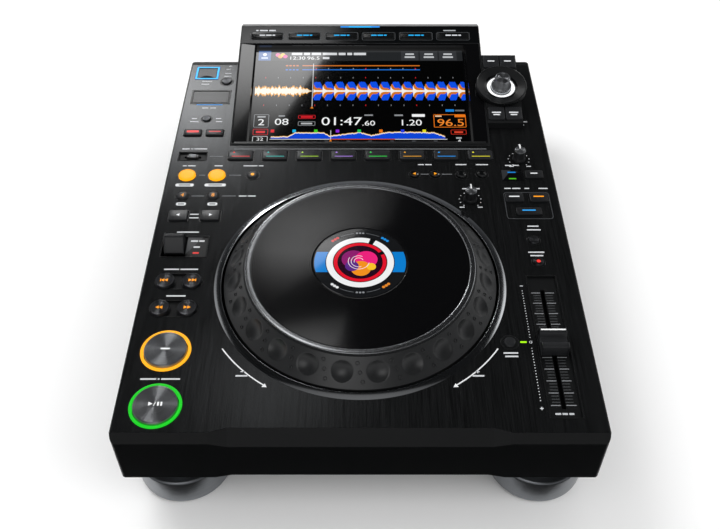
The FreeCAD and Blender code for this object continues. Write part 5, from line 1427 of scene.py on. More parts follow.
@dataclass
class ScreenPicture:
    """Generic playing picture: header, two waveforms, numbers and coloured markers."""

    left: float = -97.6
    right: float = 97.6
    low: float = 7.0
    high: float = 120.4
    seed: int = 7
    # Blocks of the header: left, right, top and base as shares of the picture, colour and lift.
    head = (
        (0.0, 1.0, 0.0, 0.118, "#232527", 0.01), (0.004, 0.064, 0.004, 0.114, "#4F6FA8", 0.02),
        (0.018, 0.05, 0.076, 0.094, "#C9D6EC", 0.03), (0.318, 0.35, 0.073, 0.098, "#DADCDF", 0.02),
    )
    # Outlines under the waveform: the same shares, and the colour.
    outlines = (
        (0.006, 0.076, 0.705, 0.84, "#8F9296"), (0.006, 0.076, 0.856, 0.918, "#D4202A"),
        (0.006, 0.076, 0.93, 0.99, "#D9DBDE"), (0.212, 0.292, 0.712, 0.75, "#D4202A"),
        (0.212, 0.292, 0.778, 0.822, "#8F9296"), (0.842, 0.992, 0.705, 0.84, "#F07818", 0.6),
        (0.918, 0.99, 0.864, 0.912, "#C8301E"),
    )
    # Filled blocks under the waveform.
    blocks = (
        (0.022, 0.06, 0.722, 0.738, "#A5A8AB"), (0.02, 0.062, 0.876, 0.898, "#E03038"),
        (0.12, 0.15, 0.714, 0.728, "#8F9296"), (0.224, 0.28, 0.722, 0.74, "#D4202A"),
        (0.226, 0.278, 0.792, 0.808, "#B9BCBF"), (0.52, 0.56, 0.706, 0.72, "#8F9296"),
        (0.66, 0.7, 0.706, 0.722, "#8F9296"), (0.742, 0.802, 0.702, 0.73, "#F4F5F6"),
        (0.94, 0.99, 0.706, 0.734, "#F07818"), (0.85, 0.88, 0.716, 0.73, "#F5C9A0"),
        (0.934, 0.974, 0.88, 0.898, "#D8402A"), (0.94, 0.966, 0.94, 0.956, "#A5A8AB"),
    )
    # Plain numbers: text, place as shares, and height in millimetres.
    figures = (
        ("2", 0.041, 0.786, 7.2), ("32", 0.041, 0.96, 3.6), ("08", 0.136, 0.782, 7.4),
        ("01:47", 0.415, 0.776, 9.4), (".60", 0.54, 0.796, 5.6), ("1.20", 0.74, 0.79, 6.8),
        ("96.5", 0.92, 0.79, 8.2, "#F58A2E"), ("4", 0.954, 0.978, 3.4),
    )

    def x(self, share: float) -> float:
        """X at a share of the picture's width."""
        return self.left + share * (self.right - self.left)

    def y(self, share: float) -> float:
        """Distance along the slope at a share of the picture's height, from the top."""
        return self.high - share * (self.high - self.low)

    def build(self) -> None:
        """Draw the picture just over the glass."""
        self.marks = Marks("screen_picture", SCREEN, -4.97, PICTURE)
        self.marks.bar(0.0, (self.low + self.high) / 2, self.right - self.left, self.high - self.low,
                       "#000000")
        self.header()
        self.guides()
        self.wave()
        self.numbers()
        self.overview()
        self.marks.build()

    def block(self, left: float, right: float, top: float, base: float, tint: str, lift: float = 0.01,
              corner: float = 0.3) -> None:
        """Fill a box given by shares of the picture."""
        self.marks.bar(self.x((left + right) / 2), self.y((top + base) / 2), self.x(right) - self.x(left),
                       self.y(top) - self.y(base), tint, corner, lift)

    def box(self, left: float, right: float, top: float, base: float, tint: str, line: float = 0.5) -> None:
        """Outline a box given by shares of the picture."""
        self.marks.frame(self.x((left + right) / 2), self.y((top + base) / 2), self.x(right) - self.x(left),
                         self.y(top) - self.y(base), line, tint, 1.0, 0.02)

    def number(self, text: str, share_x: float, share_y: float, height: float, tint: str = "#F4F5F6",
               stretch: float = 1.25) -> None:
        """Write plain numbers at shares of the picture."""
        self.marks.number(text, self.x(share_x), self.y(share_y), height, tint, 0.03, stretch)

    def header(self) -> None:
        """Grey strip with a blue tile, a small picture and plain bars."""
        for row in self.head:
            self.block(*row)
        self.marks.dot(self.x(0.034), self.y(0.046), 1.9, "#E8EEF8", 0.03)
        for index, tint in enumerate(("#F06AA8", "#F5A04E", "#F7C95E", "#D84C9C")):
            self.marks.dot(self.x(0.098 + 0.012 * index), self.y(0.05 + 0.018 * (index % 2)), 2.3, tint,
                           0.02 + index * 0.002)
        left = 0.165
        for size in (0.052, 0.03, 0.046, 0.07, 0.034, 0.024, 0.06):
            self.block(left, left + size, 0.024, 0.052, "#DADCDF", 0.02)
            left += size + 0.008
        self.number("12:30", 0.196, 0.086, 4.0)
        self.number("96.5", 0.272, 0.086, 4.0)
        for index in range(3):
            near = 0.7 + index * 0.093
            self.block(near, near + 0.086, 0.006, 0.112, "#35373A", 0.02)
            self.block(near + 0.022, near + 0.064, 0.032, 0.05, "#C4C7CA", 0.03)
            self.block(near + 0.018, near + 0.068, 0.066, 0.084, "#C4C7CA", 0.03)

    def guides(self) -> None:
        """Two long coloured lines, the beat dots and the playhead."""
        self.block(0.22, 0.79, 0.168, 0.178, "#D9731F")
        self.block(0.22, 0.79, 0.214, 0.224, "#1E6FD0")
        for near, tint in ((0.168, "#D9731F"), (0.214, "#1E6FD0")):
            for index in range(4):
                self.block(0.14 + index * 0.017, 0.151 + index * 0.017, near - 0.002, near + 0.012, tint)
        for index in range(16):
            share = 0.045 + index * 0.06
            tint = "#D4232B" if index % 4 == 0 else "#8C8F93"
            for near in (0.30, 0.60):
                self.block(share, share + 0.003, near, near + 0.016, tint)
            if 4 <= index <= 12:
                self.block(share, share + 0.005, 0.2, 0.214, tint, 0.02)
        self.block(0.2725, 0.2755, 0.15, 0.63, "#D9DBDE", 0.06)
        self.marks.triangle(self.x(0.274), self.y(0.634), 1.7, 90, "#F08A24", 0.07)

    def wave(self) -> None:
        """Large waveform: quiet cream part, then loud blue, orange and white beats."""
        rng = np.random.default_rng(self.seed)
        middle = self.y(0.455)
        quiet = np.linspace(0.0, 0.272, 120)
        beat = np.abs(np.sin(quiet * 95.0)) ** 6
        fade = np.clip((0.272 - quiet) / 0.05, 0.08, 1.0)
        body = (1.6 + 2.6 * beat ** 2 + rng.random(120) * 2.6) * fade
        fringe = body + (0.7 + 2.4 * rng.random(120) ** 2) * fade
        for reach, tint, lift in ((fringe, "#F2A51E", 0.02), (body, "#F6EEDC", 0.03)):
            self.marks.curve(self.x(quiet), middle - reach, middle + reach, tint, lift)
        loud = np.linspace(0.278, 0.999, 420)
        phase = (loud * 18.6) % 1.0
        hit = np.exp(-phase * 3.2)
        swell = np.clip(np.sin(phase * math.pi) * 1.4, 0, 1)
        blue = 2.6 + 8.2 * swell + rng.random(420) * 1.1
        orange = 1.1 + 6.0 * np.exp(-((phase - 0.12) / 0.16) ** 2) + 2.4 * swell + rng.random(420) * 0.5
        white = 0.8 + 6.8 * hit ** 3 + rng.random(420) * 0.35
        for reach, tint, lift in ((blue, "#0C50E8", 0.02), (orange, "#D5761A", 0.03),
                                  (white, "#F8F5EE", 0.04)):
            self.marks.curve(self.x(loud), middle - reach, middle + reach, tint, lift)
        self.block(0.9, 0.94, 0.652, 0.676, "#1785E0", 0.02)
        self.block(0.945, 0.988, 0.656, 0.672, "#6E7175", 0.02)

    def numbers(self) -> None:
        """Boxes and plain numbers under the waveform."""
        for row in self.outlines:
            self.box(*row)
        for row in self.blocks:
            self.block(*row, 0.02)
        for row in self.figures:
            self.number(*row)

    def overview(self) -> None:
        """Small waveform of the whole piece with coloured markers over it."""
        rng = np.random.default_rng(self.seed + 1)
        base = self.y(0.955)
        xs = np.linspace(0.09, 0.89, 260)
        steps = np.interp(xs, [0.09, 0.17, 0.2, 0.33, 0.36, 0.5, 0.55, 0.62, 0.7, 0.84, 0.89],
                          [0.6, 1.2, 5.4, 5.6, 1.6, 6.0, 2.2, 5.8, 6.2, 5.6, 1.2])
        tall = steps + rng.random(260) * 0.9
        for reach, tint, lift in ((tall + 1.5, "#F2B45A", 0.02), (tall + 0.9, "#F4EFE4", 0.025),
                                  (tall, "#0C46D8", 0.03)):
            self.marks.curve(self.x(xs), np.full(260, base), base + reach, tint, lift)
        self.block(0.085, 0.9, 0.957, 0.965, "#B9BCBF", 0.02)
        self.block(0.36, 0.66, 0.957, 0.965, "#C24A24", 0.03)
        self.marks.triangle(self.x(0.365), self.y(0.978), 1.7, 90, "#F08A24", 0.05)
        self.block(0.3635, 0.3665, 0.87, 0.965, "#D9DBDE", 0.06)
        for index, tint in enumerate(("#E8202E", "#16B4E8", "#3FC81E", "#8A2BD8", "#1EC850", "#F07818",
                                      "#2A3FE0", "#E8E020")):
            near = 0.088 + index * 0.1
            self.block(near, near + 0.016, 0.862, 0.892, tint, 0.04)
            self.block(near + 0.05, near + 0.066, 0.975, 0.984, "#55585C", 0.02)


def extruded(profile: np.ndarray, x: float, width: float, edge: float) -> np.ndarray:
    """Sweep a closed line of y and z along X, drawing its ends in to round them.

    Args:
        profile: Points by two, clockwise seen from the right.
        x: X of the middle.
        width: Whole width.
        edge: Radius of the rounded ends.

    Returns:
        Points, rows by columns by three, to be closed at both ends.
    """
    middle = (profile.max(axis=0) + profile.min(axis=0)) / 2
    half = (profile.max(axis=0) - profile.min(axis=0)) / 2
    stations = []
    for turn in (0, 30, 60, 90):
        angle = math.radians(turn)
        stations.append((-width / 2 + edge * (1 - math.sin(angle)), edge * (1 - math.cos(angle))))
    stations += [(-place, draw) for place, draw in stations[::-1]]
    loops = []
    for place, draw in stations:
        loop = middle + (profile - middle) * (1 - draw / half)
        loops.append(np.column_stack([np.full(len(loop), x + place), loop]))
    return np.stack(loops)


@dataclass
class Fader:
    """Tempo fader: printed scale, cap and the lamp beside it."""

    x: float = 136.9
    y: float = -150.1
    left: float = 126.0
    right: float = 149.2
    front: float = -211.5
    floor: float = -1.3
    steps: int = 20
    scale_pitch: float = 2.5
    dot_pitch: float = 2.45
    dots_x: float = 121.6
    dots_rear: float = -94.2
    dots_front: float = -203.4
    lamp_x: float = 116.4
    # The scale's middle stands this far behind the cap's.
    centre_shift: float = 2.6
    ink: str = "#C9CBCE"

    def build(self) -> None:
        """Make the scale and the cap."""
        self.scale()
        self.cap()

    def scale(self) -> None:
        """Bars on both sides of the slot, the dotted scale beside the recess and the green lamp."""
        marks = Marks("fader_scale", FLAT, self.floor + 0.02, PRINT)
        for index in range(-self.steps, self.steps + 1):
            y = self.y + index * self.scale_pitch
            major = index % 4 == 0
            reach, tint, depth = (8.6, "#7C7E81", 0.7) if major else (7.2, "#424446", 0.5)
            for side in (-1, 1):
                marks.bar(self.x + side * (1.9 + (reach - 1.9) / 2), y, reach - 1.9, depth, tint)
        for part, size in ((-4.6, 4.0), (0.0, 3.6), (4.4, 3.4)):
            marks.bar(self.x + part, self.front + 4.6, size, 1.5, "#B9BBBE", 0.3)
        marks.build()
        rim = Marks("fader_rim_print", FLAT, 0.02, PRINT)
        x = self.dots_x
        for index in range(-self.steps, self.steps + 1):
            if abs(index) > 1:
                rim.dot(x, self.y + index * self.dot_pitch + 2.0, 0.42, self.ink, columns=8)
        rim.arc(x, self.y + self.centre_shift, 0.75, 1.15, self.ink, columns=20)
        rim.bar(x, self.dots_rear, 2.4, 0.7, self.ink)
        rim.bar(x, self.dots_front, 2.4, 0.7, self.ink)
        rim.bar(x, self.dots_front, 0.7, 2.4, self.ink, lift=0.005)
        rim.build()
        lamp = Marks("fader_centre_lamp", FLAT, 0.05, LAMP)
        lamp.bar(self.lamp_x, self.y + self.centre_shift, 4.6, 1.5, "#A6F000", 0.3)
        lamp.build()

    def cap(self) -> None:
        """Cap with a rear crest, a black valley and a front barrel."""
        low, valley, top = -0.7, 5.2, 9.4
        line = eased([(-10.0, low, 0), (-10.0, 3.0, 1.0), (-8.8, top, 1.4), (-4.4, top, 1.6),
                      (-2.6, valley, 0.6), (2.6, valley, 0.6), (4.4, top, 0.8), (8.8, top, 0.8),
                      (10.0, 2.3, 0.8), (10.0, low, 0)], 3)
        profile = line + np.array((self.y, DECK))
        shape = Shape("tempo_fader_cap")
        shape.grid(extruded(profile[::-1], self.x, 19.2, 0.7), FADER_CAP, start_cap=True, end_cap=True)
        shape.build("tempo_fader", ["tempo_fader"], "key_plastic", sharp=40)
        marks = Marks("tempo_fader_line", FLAT, top + 0.03, PRINT)
        marks.bar(self.x, self.y + 6.6, 17.6, 1.2, "#F0F1F2", 0.2)
        marks.build("tempo_fader")


@dataclass
class DirectionLever:
    """Tilting paddle and the gloss window beside it."""

    x: float = -145.1
    y: float = -52.8
    width: float = 15.6
    # Paddle seen from the right: distance from its middle, height over the deck and rounding.
    outline = ((-6.5, -4.0, 0), (-8.5, 0.2, 0.4), (-7.5, 1.6, 0.8), (0.0, 11.5, 0.9), (4.0, 11.5, 0.8),
               (5.0, 10.5, 0.5), (8.5, 0.6, 0.8), (6.5, -4.0, 0))
    # Left, right, front and rear of the window.
    window = (-136.4, -120.5, -63.7, -42.2)
    # Rows of bars in the window: place, lengths and colour.
    rows = ((-46.4, (5.6, 4.2), "#D5D7DA"), (-53.0, (5.0,), "#D5D7DA"), (-59.4, (4.8,), "#E23B36"))

    def build(self) -> None:
        """Make the paddle, the signs of the window and a painted reflection across the window."""
        line = eased(self.outline, 3)
        profile = line + np.array((self.y, DECK))
        shape = Shape("direction_lever_paddle")
        shape.grid(extruded(profile[::-1], self.x, self.width, 0.7), LEVER, start_cap=True, end_cap=True)
        shape.build("direction_lever", ["direction_lever"], "key_plastic", sharp=40)
        window = Marks("direction_window_picture", FLAT, -0.48, LIT_WINDOW)
        left, right, front, rear = self.window
        window.polygon([(left, front), (right, front), (right, rear), (left, rear)], "#030304")
        # Lighter grey triangle across the window's upper left: a painted reflection, glowing like the signs.
        window.polygon([(left, front + 3.0), (right - 4.0, rear), (left, rear)], "#3A3B3D", 0.005)
        middle = (left + right) / 2
        for y, sizes, tint in self.rows:
            start = middle - (sum(sizes) + 0.9 * (len(sizes) - 1)) / 2
            for size in sizes:
                window.bar(start + size / 2, y, size, 1.7, tint, 0.3, 0.01)
                start += size + 0.9
        window.build()


@dataclass
class Pod:
    """Raised pod beside the screen: dished ring, rotary selector and four keys."""

    x: float = 129.7
    along: float = 42.0
    # Radius, height over the slope and rounding of each corner.
    dish = ((23.2, 0.0, 0), (23.2, 4.0, 0.4), (22.4, 4.6, 0.5), (18.0, 2.6, 1.5), (12.9, 1.3, 0),
            (12.9, 0.05, 0))
    toothed = ((9.2, 0.35, 0), (9.2, 3.9, 0), (8.6, 4.5, 0))
    spun = ((8.1, 4.4, 0), (7.4, 5.4, 0.6), (7.0, 7.2, 0.8), (7.0, 12.9, 0.3), (6.6, 13.5, 0.35),
            (5.9, 13.5, 0.2), (5.5, 13.1, 0.2), (0.1, 13.3, 0))

    def build(self) -> None:
        """Make the ring, the lit band, the selector and the keys' signs."""
        ring = Shape("pod_ring_turned")
        ring.grid(turned(self.dish, self.x, self.along, 0.05, 128, POD, 5), GLOSS_CAP)
        ring.build("chassis", sharp=50)
        lit = Marks("pod_lit_band", POD, 0.12, LAMP)
        lit.arc(self.x, self.along, 9.6, 12.9, "#F4F6F8", columns=96)
        lit.build()
        knob = Shape("browse_knob_turned")
        teeth = 32
        foot = turned(self.toothed, self.x, self.along, 0.0, 8 * teeth, None)
        centre = np.array((self.x, self.along, 0.0))
        wave = np.where(np.arange(8 * teeth) % 8 < 4, 1.0, 0.935)[None, :, None]
        stretch = np.concatenate([wave, wave, np.ones_like(wave)], axis=2)
        knob.grid(POD.place((foot - centre) * stretch + centre), KNOB_METAL, tint="#FFFFFF")
        knob.grid(turned(self.spun, self.x, self.along, 0.0, 96, POD), SPUN, end_cap=True)
        knob.build("browse_knob", ["browse_knob"], "spun_metal", sharp=45)
        keys = Shape("browse_keys_moulded")
        marks = Marks("browse_key_signs", POD, 1.23, PRINT)
        for along in (3.2, 66.4):
            for side in (-1, 1):
                x = 130.8 + side * 7.75
                keys.grid(slab(x, along + 7.3, 14.6, 14.6, -2.5, 1.2, 1.2, 0.5, POD), GREY_KEY, end_cap=True)
                for row, size in ((0.0, 8.2), (-2.6, 6.0)) if along < 20 else ((0.0, 6.4),):
                    marks.bar(x, along + 8.0 + row, size, 1.4, "#D5D7DA", 0.3)
        keys.build("browse_keys", ["browse_keys"], "key_plastic", sharp=50)
        marks.build("browse_keys")


@dataclass
class PointerKnob:
    """Small metal knob with a pointer and a dotted scale."""

    node: str
    # Radius, height over the deck and rounding of each corner.
    barrel = ((5.6, 0.35, 0), (5.5, 2.2, 0.4), (4.9, 2.8, 0.3), (4.8, 10.2, 0))
    top = ((4.75, 10.2, 0), (4.7, 11.0, 0.35), (4.1, 11.25, 0.2), (0.1, 11.25, 0))

    def build(self) -> None:
        """Make the knob and its scale."""
        low, high = (np.array(corner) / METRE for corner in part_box(self.node))
        x = float(low[0] + high[0]) / 2
        y = float(low[1]) + 5.6
        knob = Shape(self.node + "_turned")
        flutes = 12
        side = turned(self.barrel, x, y, DECK, 8 * flutes)
        centre = np.array((x, y, 0.0))
        wave = (1.0 - 0.035 * np.abs(np.sin(np.arange(8 * flutes) * math.pi / 8)))[None, :, None]
        rows = np.where(np.arange(len(side)) > 4, 1.0, 0.0)[:, None, None]
        drawn = 1 + (wave - 1) * rows
        stretch = np.concatenate([drawn, drawn, np.ones_like(drawn)], axis=2)
        knob.grid((side - centre) * stretch + centre, KNOB_BLACK)
        knob.grid(turned(self.top, x, y, DECK, 64), SPUN, end_cap=True)
        knob.grid(slab(x, y + 3.3, 2.0, 6.4, 0.4, 12.0, 0.4, 0.35), KNOB_METAL, end_cap=True)
        knob.build(self.node, [self.node], "spun_metal", sharp=45)
        line = Marks(self.node + "_pointer", FLAT, 12.03, PRINT)
        line.bar(x, y + 3.4, 0.8, 5.4, "#FFFFFF", 0.2)
        line.build(self.node)
        marks = Marks(self.node + "_scale", FLAT, 0.02, PRINT)
        for index in range(11):
            turn = math.radians(-50 + index * 28)
            marks.dot(x + 9.0 * math.cos(turn), y + 9.0 * math.sin(turn), 0.5, "#C9CBCE", columns=8)
        for turn, side_x in ((-50, 1), (230, -1)):
            angle = math.radians(turn)
            marks.bar(x + 9.4 * math.cos(angle) + side_x * 1.4, y + 9.4 * math.sin(angle) - 1.8, 4.0, 1.1,
                      "#C9CBCE")
        marks.build()


@dataclass
class StoragePorts:
    """Lit frame of the USB well and the lit line of the card well."""

    usb: tuple[float, float] = (-147.4, 180.05)
    card: tuple[float, float] = (-139.75, 141.85)
    card_line: float = 129.9
    notch: float = 172.2

    def build(self) -> None:
        """Make the lit frame, the line, the dark outline of painted shade round the card well, and the
        painted shade of the flap's notch.
        """
        frame_marks = Marks("usb_lit_frame", FLAT, 0.33, LAMP)
        x, y = self.usb
        frame_marks.frame(x, y, 22.2, 20.3, 1.9, "#0A8FF0", 0.8)
        frame_marks.frame(x, y, 20.8, 18.9, 0.9, "#1FD0FF", 0.6, 0.01)
        frame_marks.build()
        line = Marks("card_lit_line", FLAT, 0.12, LAMP)
        line.bar(self.card[0], self.card_line, 24.0, 1.1, "#1287D8")
        line.build()
        # Flat black outline round the card well: painted shade of the gap round it.
        edge = Marks("card_well_outline", FLAT, 0.13, GAP_SHADE)
        edge.frame(*self.card, 36.5, 21.7, 1.3, "#000000", 1.0)
        edge.build()
        # Flat black half disc on the flap: painted shade of the finger notch.
        flap = Marks("usb_flap_notch", FLAT, 0.02, GAP_BLACK)
        turn = np.radians(np.linspace(0, 180, 20))
        flap.polygon(np.column_stack([x + 6.2 * np.cos(turn), self.notch + 3.4 * np.sin(turn)]), "#000000")
        flap.build("usb_flap")


@dataclass
class SlideSwitch:
    """Metal knob of the slide switch."""

    x: float = -145.8
    y: float = 56.2

    def build(self) -> None:
        """Make the knob."""
        shape = Shape("call_switch_knob")
        shape.grid(slab(self.x, self.y, 10.0, 5.0, -1.1, 0.2, 0.5, 0.2), GLOSS_KEY, end_cap=True)
        shape.grid(slab(self.x, self.y, 6.8, 4.0, 0.1, 1.2, 0.8, 0.5), SPUN, end_cap=True)
        shape.build("call_switch", ["call_switch"], "spun_metal", sharp=45)


@dataclass
class Feet:
    """Four turned metal sleeves."""

    half_span: float = 128.9
    rows: tuple[float, float] = (-190.5, 158.0)
    # Radius, height over the table and rounding of each corner.
    sleeve = ((31.3, 4.0, 0), (31.3, 1.6, 0), (33.6, 1.6, 0.3), (34.8, 2.8, 1.0), (34.8, 25.6, 1.0),
              (33.4, 27.0, 0.8), (28.5, 27.0, 0.3), (28.5, 40.1, 0))

    def build(self) -> None:
        """Turn the sleeves in one piece."""
        shape = Shape("foot_sleeves_turned")
        for x in (-self.half_span, self.half_span):
            for y in self.rows:
                shape.grid(turned(self.sleeve, x, y, 0.0, 128), FOOT)
        shape.build("chassis", ["foot_sleeves"], "foot_metal", sharp=60)


@dataclass
class Legends:
    """Short bars, lines, numbers and arrows printed on the deck, placed by the photo's pixels."""

    white: str = "#C9CBCE"
    grey: str = "#77797C"
    # Column and row in the photo of the centre of each legend, and the lengths of its bars in millimetres.
    left_rows = (
        (230.7, 66.3, (3.0,)), (228.6, 69.4, (4.2,)), (228.4, 73.4, (6.0,)), (227.8, 76.2, (7.0,)),
        (207.2, 81.4, (9.5,)), (205.3, 84.2, (7.5,)), (205.3, 108.0, (5.5,)), (213.2, 108.0, (5.2,)),
        (194.4, 118.6, (4.6,)), (194.2, 121.6, (7.4,)), (218.7, 118.6, (4.8,)), (218.9, 121.6, (6.0,)),
        (188.4, 148.9, (6.5, 3.0)), (200.2, 148.9, (12.5,)), (189.3, 165.8, (3.2, 6.6)),
        (218.7, 165.8, (7.0,)), (253.5, 165.8, (12.0, 4.0)), (247.2, 196.0, (6.4, 6.4)),
        (194.4, 214.3, (7.2,)), (193.9, 217.8, (7.6,)), (188.0, 232.1, (17.5,)),
        (181.1, 269.3, (11.5, 13.5)), (175.9, 295.9, (14.5,)), (160.1, 379.0, (11.0, 1.2, 13.0)),
    )
    right_rows = (
        (424.8, 164.6, (5.0, 5.6)), (460.9, 164.6, (9.5,)), (481.9, 164.6, (10.5,)),
        (511.8, 165.4, (5.6, 5.2)), (512.4, 188.4, (5.4, 7.0)), (526.8, 188.4, (4.0,)),
        (543.0, 188.4, (7.6,)), (533.0, 226.2, (9.0,)), (533.8, 229.8, (11.0,)), (536.3, 252.2, (12.5,)),
        (536.8, 255.6, (10.0,)), (470.9, 188.7, (5.0, 8.4)), (510.9, 353.0, (10.4,)),
        (511.8, 356.4, (9.2,)), (519.5, 121.8, (6.4, 6.0)), (518.9, 124.9, (9.0,)),
    )
    # Left and right column and the row of thin lines between buttons.
    left_lines = ((210.0, 223.3, 156.3), (198.9, 205.2, 175.2), (229.1, 241.3, 175.2),
                  (191.5, 204.2, 196.0), (221.8, 235.9, 196.0))
    # Column and row of each pill, and its length in millimetres.
    pills = ((184.6, 185.0, 15.5), (215.2, 185.0, 18.0), (181.0, 204.0, 8.2), (212.3, 204.0, 8.2))
    # Corners of the outline round the three sync keys, and of the window over the jog mode key.
    sync_box = ((503.0, 192.2), (549.5, 192.2), (553.2, 219.0), (507.3, 219.0))
    mode_window = ((500.3, 169.7), (523.9, 181.2))

    def build(self) -> None:
        """Print the whole deck."""
        self.marks = Marks("deck_print", FLAT, 0.03, PRINT)
        self.left()
        self.right()
        self.arrows()
        self.marks.build()
        self.windows()

    def rows(self, items: Sequence[tuple[float, float, Sequence[float]]]) -> None:
        """Print rows of bars at photo pixels."""
        for x, y, parts in items:
            words(self.marks, x, y, parts, self.white)

    def line(self, x0: float, x1: float, y: float, depth: float = 0.7) -> None:
        """Print a thin line between two photo columns on one row."""
        left, along = PHOTO.over(x0, y)
        right, _ = PHOTO.over(x1, y)
        self.marks.bar((left + right) / 2, along, right - left, depth, self.grey)

    def pill(self, x: float, y: float, width: float) -> None:
        """Print a white pill with a dark bar in it at a photo pixel."""
        across, along = PHOTO.over(x, y)
        self.marks.bar(across, along, width, 3.6, "#D9DBDD", 1.5)
        self.marks.bar(across, along, width * 0.62, 1.2, "#1A1B1D", 0.2, 0.01)

    def left(self) -> None:
        """Print the left side."""
        self.rows(self.left_rows)
        for x0, x1, y in self.left_lines:
            self.line(x0, x1, y)
        for x, y, width in self.pills:
            self.pill(x, y, width)

    def right(self) -> None:
        """Print the right side."""
        self.rows(self.right_rows)
        screen_line, along = PHOTO.over(360.0, 149.0)
        self.marks.bar(screen_line, along, 222.0, 0.8, self.grey)
        for x0, x1 in ((421.0, 428.8), (441.9, 452.2)):
            self.line(x0, x1, 174.2)
        places = [PHOTO.over(*corner) for corner in self.sync_box]
        left = (places[0][0] + places[3][0]) / 2
        right = (places[1][0] + places[2][0]) / 2
        front, rear = places[3][1], places[0][1]
        self.marks.frame((left + right) / 2, (front + rear) / 2, right - left, rear - front, 0.7, "#35373A",
                         3.0)

    def arrows(self) -> None:
        """Print the two curved arrows outside the wheel and the signs beside them."""
        x, y = JOG
        for side in (-1, 1):
            start, end = (214.5, 236.5) if side < 0 else (303.5, 325.5)
            self.marks.arc(x, y, 118.0, 118.9, "#E3E4E6", start, end, columns=40)
            tip = math.radians(end if side < 0 else start)
            self.marks.triangle(x + 118.6 * math.cos(tip), y + 118.6 * math.sin(tip), 2.1,
                                math.degrees(tip) + (90 if side < 0 else -90), "#E3E4E6", 0.005)
            across, along = PHOTO.over(242.4 if side < 0 else 477.6, 371.6)
            self.marks.bar(across, along, 2.8, 0.8, self.white)
            if side > 0:
                self.marks.bar(across, along, 0.8, 2.8, self.white, lift=0.005)
            words(self.marks, 241.4 if side < 0 else 478.4, 375.8, (8.2,), self.white)

    def windows(self) -> None:
        """Small black window over the jog mode key, with lit bars and a painted reflection across its left
        side.
        """
        window = Marks("jog_mode_window", FLAT, 0.05, PICTURE)
        places = [PHOTO.over(*corner) for corner in self.mode_window]
        left, right = places[0][0], places[1][0]
        front, rear = places[1][1], places[0][1]
        window.bar((left + right) / 2, (front + rear) / 2, right - left, rear - front, "#050506", 0.6)
        # Grey triangle over the window's left side: a painted reflection, glowing like the bars.
        painted_sheen = [(left + 0.6, front + 1.0), (left + 9.0, rear - 0.5), (left + 0.6, rear - 0.5)]
        window.polygon(painted_sheen, "#303234", 0.005)
        window.bar((left + right) / 2, rear - 3.4, 7.0, 1.5, "#1C86D8", 0.3, 0.01)
        window.bar((left + right) / 2, front + 3.2, 6.2, 1.5, "#57C023", 0.3, 0.01)
        window.build()


@dataclass
class RearDetails:
    """Pins, tongues and contacts inside the rear sockets."""

    face: float = 196.0
    height: float = 62.0
    # Radius, distance behind the face and rounding of each corner of a phono socket.
    phono = ((4.3, 0.0, 0), (4.3, 8.9, 0.3), (3.3, 9.0, 0.3), (3.2, 2.0, 0), (0.1, 2.0, 0))

    def build(self) -> None:
        """Make the metal and plastic parts of the sockets."""
        metal = Shape("rear_socket_contacts")
        for x, z in ((111.5, 60.0), (118.0, 64.5), (124.5, 60.0)):
            metal.grid(self.block(x, z, 1.6, 4.4, 178.4, 192.0), SILVER, end_cap=True)
        for index in range(8):
            metal.grid(self.block(20.0 - 4.2 + index * 1.2, 64.6, 0.5, 0.5, 184.0, 194.0), GOLD, end_cap=True)
        for x in (-60.0, -76.0, -104.0):
            rod = turned(self.phono, x, 0.0, 0.0, 48)
            metal.grid(self.backward(rod, x), GOLD)
        metal.build("chassis", sharp=50)
        plastic = Shape("rear_socket_tongues")
        plastic.grid(self.block(-18.0, 62.0, 5.4, 3.2, 185.9, 194.6), PORT_WHITE, end_cap=True)
        for x, tint in ((-60.0, "#B4282C"), (-76.0, "#D9DBDD"), (-104.0, "#D0701C")):
            ring = turned([(5.9, 0.4, 0), (5.9, 1.35, 0.3), (4.3, 1.35, 0)], x, 0.0, 0.0, 48)
            plastic.grid(self.backward(ring, x), PRINT, tint=tint)
        plastic.build("chassis", sharp=50)

    def block(self, x: float, z: float, width: float, height: float, start: float, end: float) -> np.ndarray:
        """Rows of a small bar that points backwards, to be closed at its end."""
        outline = rounded_box(0.0, 0.0, width, height, 0.2, 2)
        rows = []
        for place, shrink in ((start, 1.0), (end - 0.3, 1.0), (end, 0.8)):
            rows.append(np.column_stack([x - outline[:, 0] * shrink, np.full(len(outline), place),
                                         z + outline[:, 1] * shrink]))
        return np.stack(rows)

    def backward(self, points: np.ndarray, x: float) -> np.ndarray:
        """Lay a turned shape down so that its axis points backwards from the rear face."""
        return np.stack([2 * x - points[..., 0], self.face + points[..., 2], self.height + points[..., 1]],
                        axis=-1)


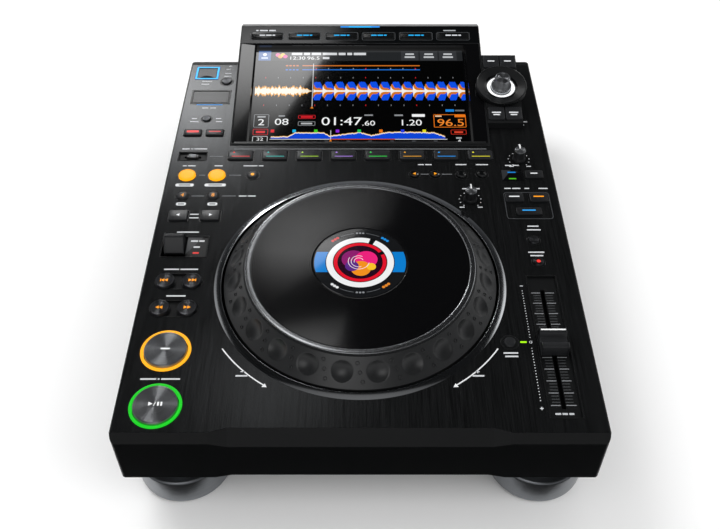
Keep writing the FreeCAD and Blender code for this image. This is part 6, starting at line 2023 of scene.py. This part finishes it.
def small_controls() -> list[RoundButton | Key]:
    """List every small button and key with its looks."""
    orange, blue, white = "#FF9F12", "#2C9BE8", "#DADCDF"
    return [
        RoundButton("usb_stop_button", CapStyle.METAL, collar=1.5),
        RoundButton("time_mode_button", CapStyle.METAL),
        RoundButton("loop_in_button", CapStyle.LIT, tint="#FFAA0A"),
        RoundButton("loop_out_button", CapStyle.LIT, tint="#FFAA0A"),
        RoundButton("reloop_button", CapStyle.DOME, "dot", "#FFA90A"),
        RoundButton("beat_loop_4_button", CapStyle.DOME, "4", orange, collar=0.4),
        RoundButton("beat_loop_8_button", CapStyle.DOME, "8", orange, collar=0.4),
        RoundButton("call_back_button", CapStyle.GLOSS, "<", orange),
        RoundButton("call_next_button", CapStyle.GLOSS, ">", orange),
        RoundButton("delete_button", CapStyle.GLOSS),
        RoundButton("memory_button", CapStyle.GLOSS),
        RoundButton("tempo_range_button", CapStyle.METAL),
        RoundButton("master_tempo_button", CapStyle.METAL, "dot", "#F0342E"),
        RoundButton("tempo_reset_button", CapStyle.PLAIN, collar=1.8),
        RoundButton("track_search_back_button", CapStyle.SPUN, "|<<", orange, 0.0, 0.3),
        RoundButton("track_search_next_button", CapStyle.SPUN, ">>|", orange, 0.0, 0.3),
        RoundButton("fast_search_back_button", CapStyle.SPUN, "<<", orange, 0.0, 0.3),
        RoundButton("fast_search_next_button", CapStyle.SPUN, ">>", orange, 0.0, 0.3),
        Key("slip_key", KEY, 10.6, "#F03030", bar_depth=2.6),
        Key("quantize_key", KEY, 10.6, "#C02A2C", bar_depth=1.5),
        Key("beat_jump_back_key", GREY_KEY, way=180, tint=white),
        Key("beat_jump_next_key", GREY_KEY, way=0, tint=white),
        Key("jog_mode_key", KEY, 6.0, white),
        Key("beat_sync_key", KEY, 8.6, white),
        Key("master_sync_key", KEY, 8.6, orange),
        Key("key_sync_key", KEY, 11.0, blue),
    ]


def main() -> None:
    """Build the looks piece by piece."""
    Studio().dress()
    Frame().dress()
    JogWheel().build()
    TransportButtons().build()
    for control in small_controls():
        control.build()
    HotCueKeys().build()
    ScreenKeys().build()
    ScreenSurround().build()
    ScreenPicture().build()
    Fader().build()
    DirectionLever().build()
    Pod().build()
    PointerKnob("jog_adjust").build()
    PointerKnob("speed_knob").build()
    StoragePorts().build()
    SlideSwitch().build()
    Feet().build()
    Legends().build()
    RearDetails().build()


if __name__ == "__main__":
    main()
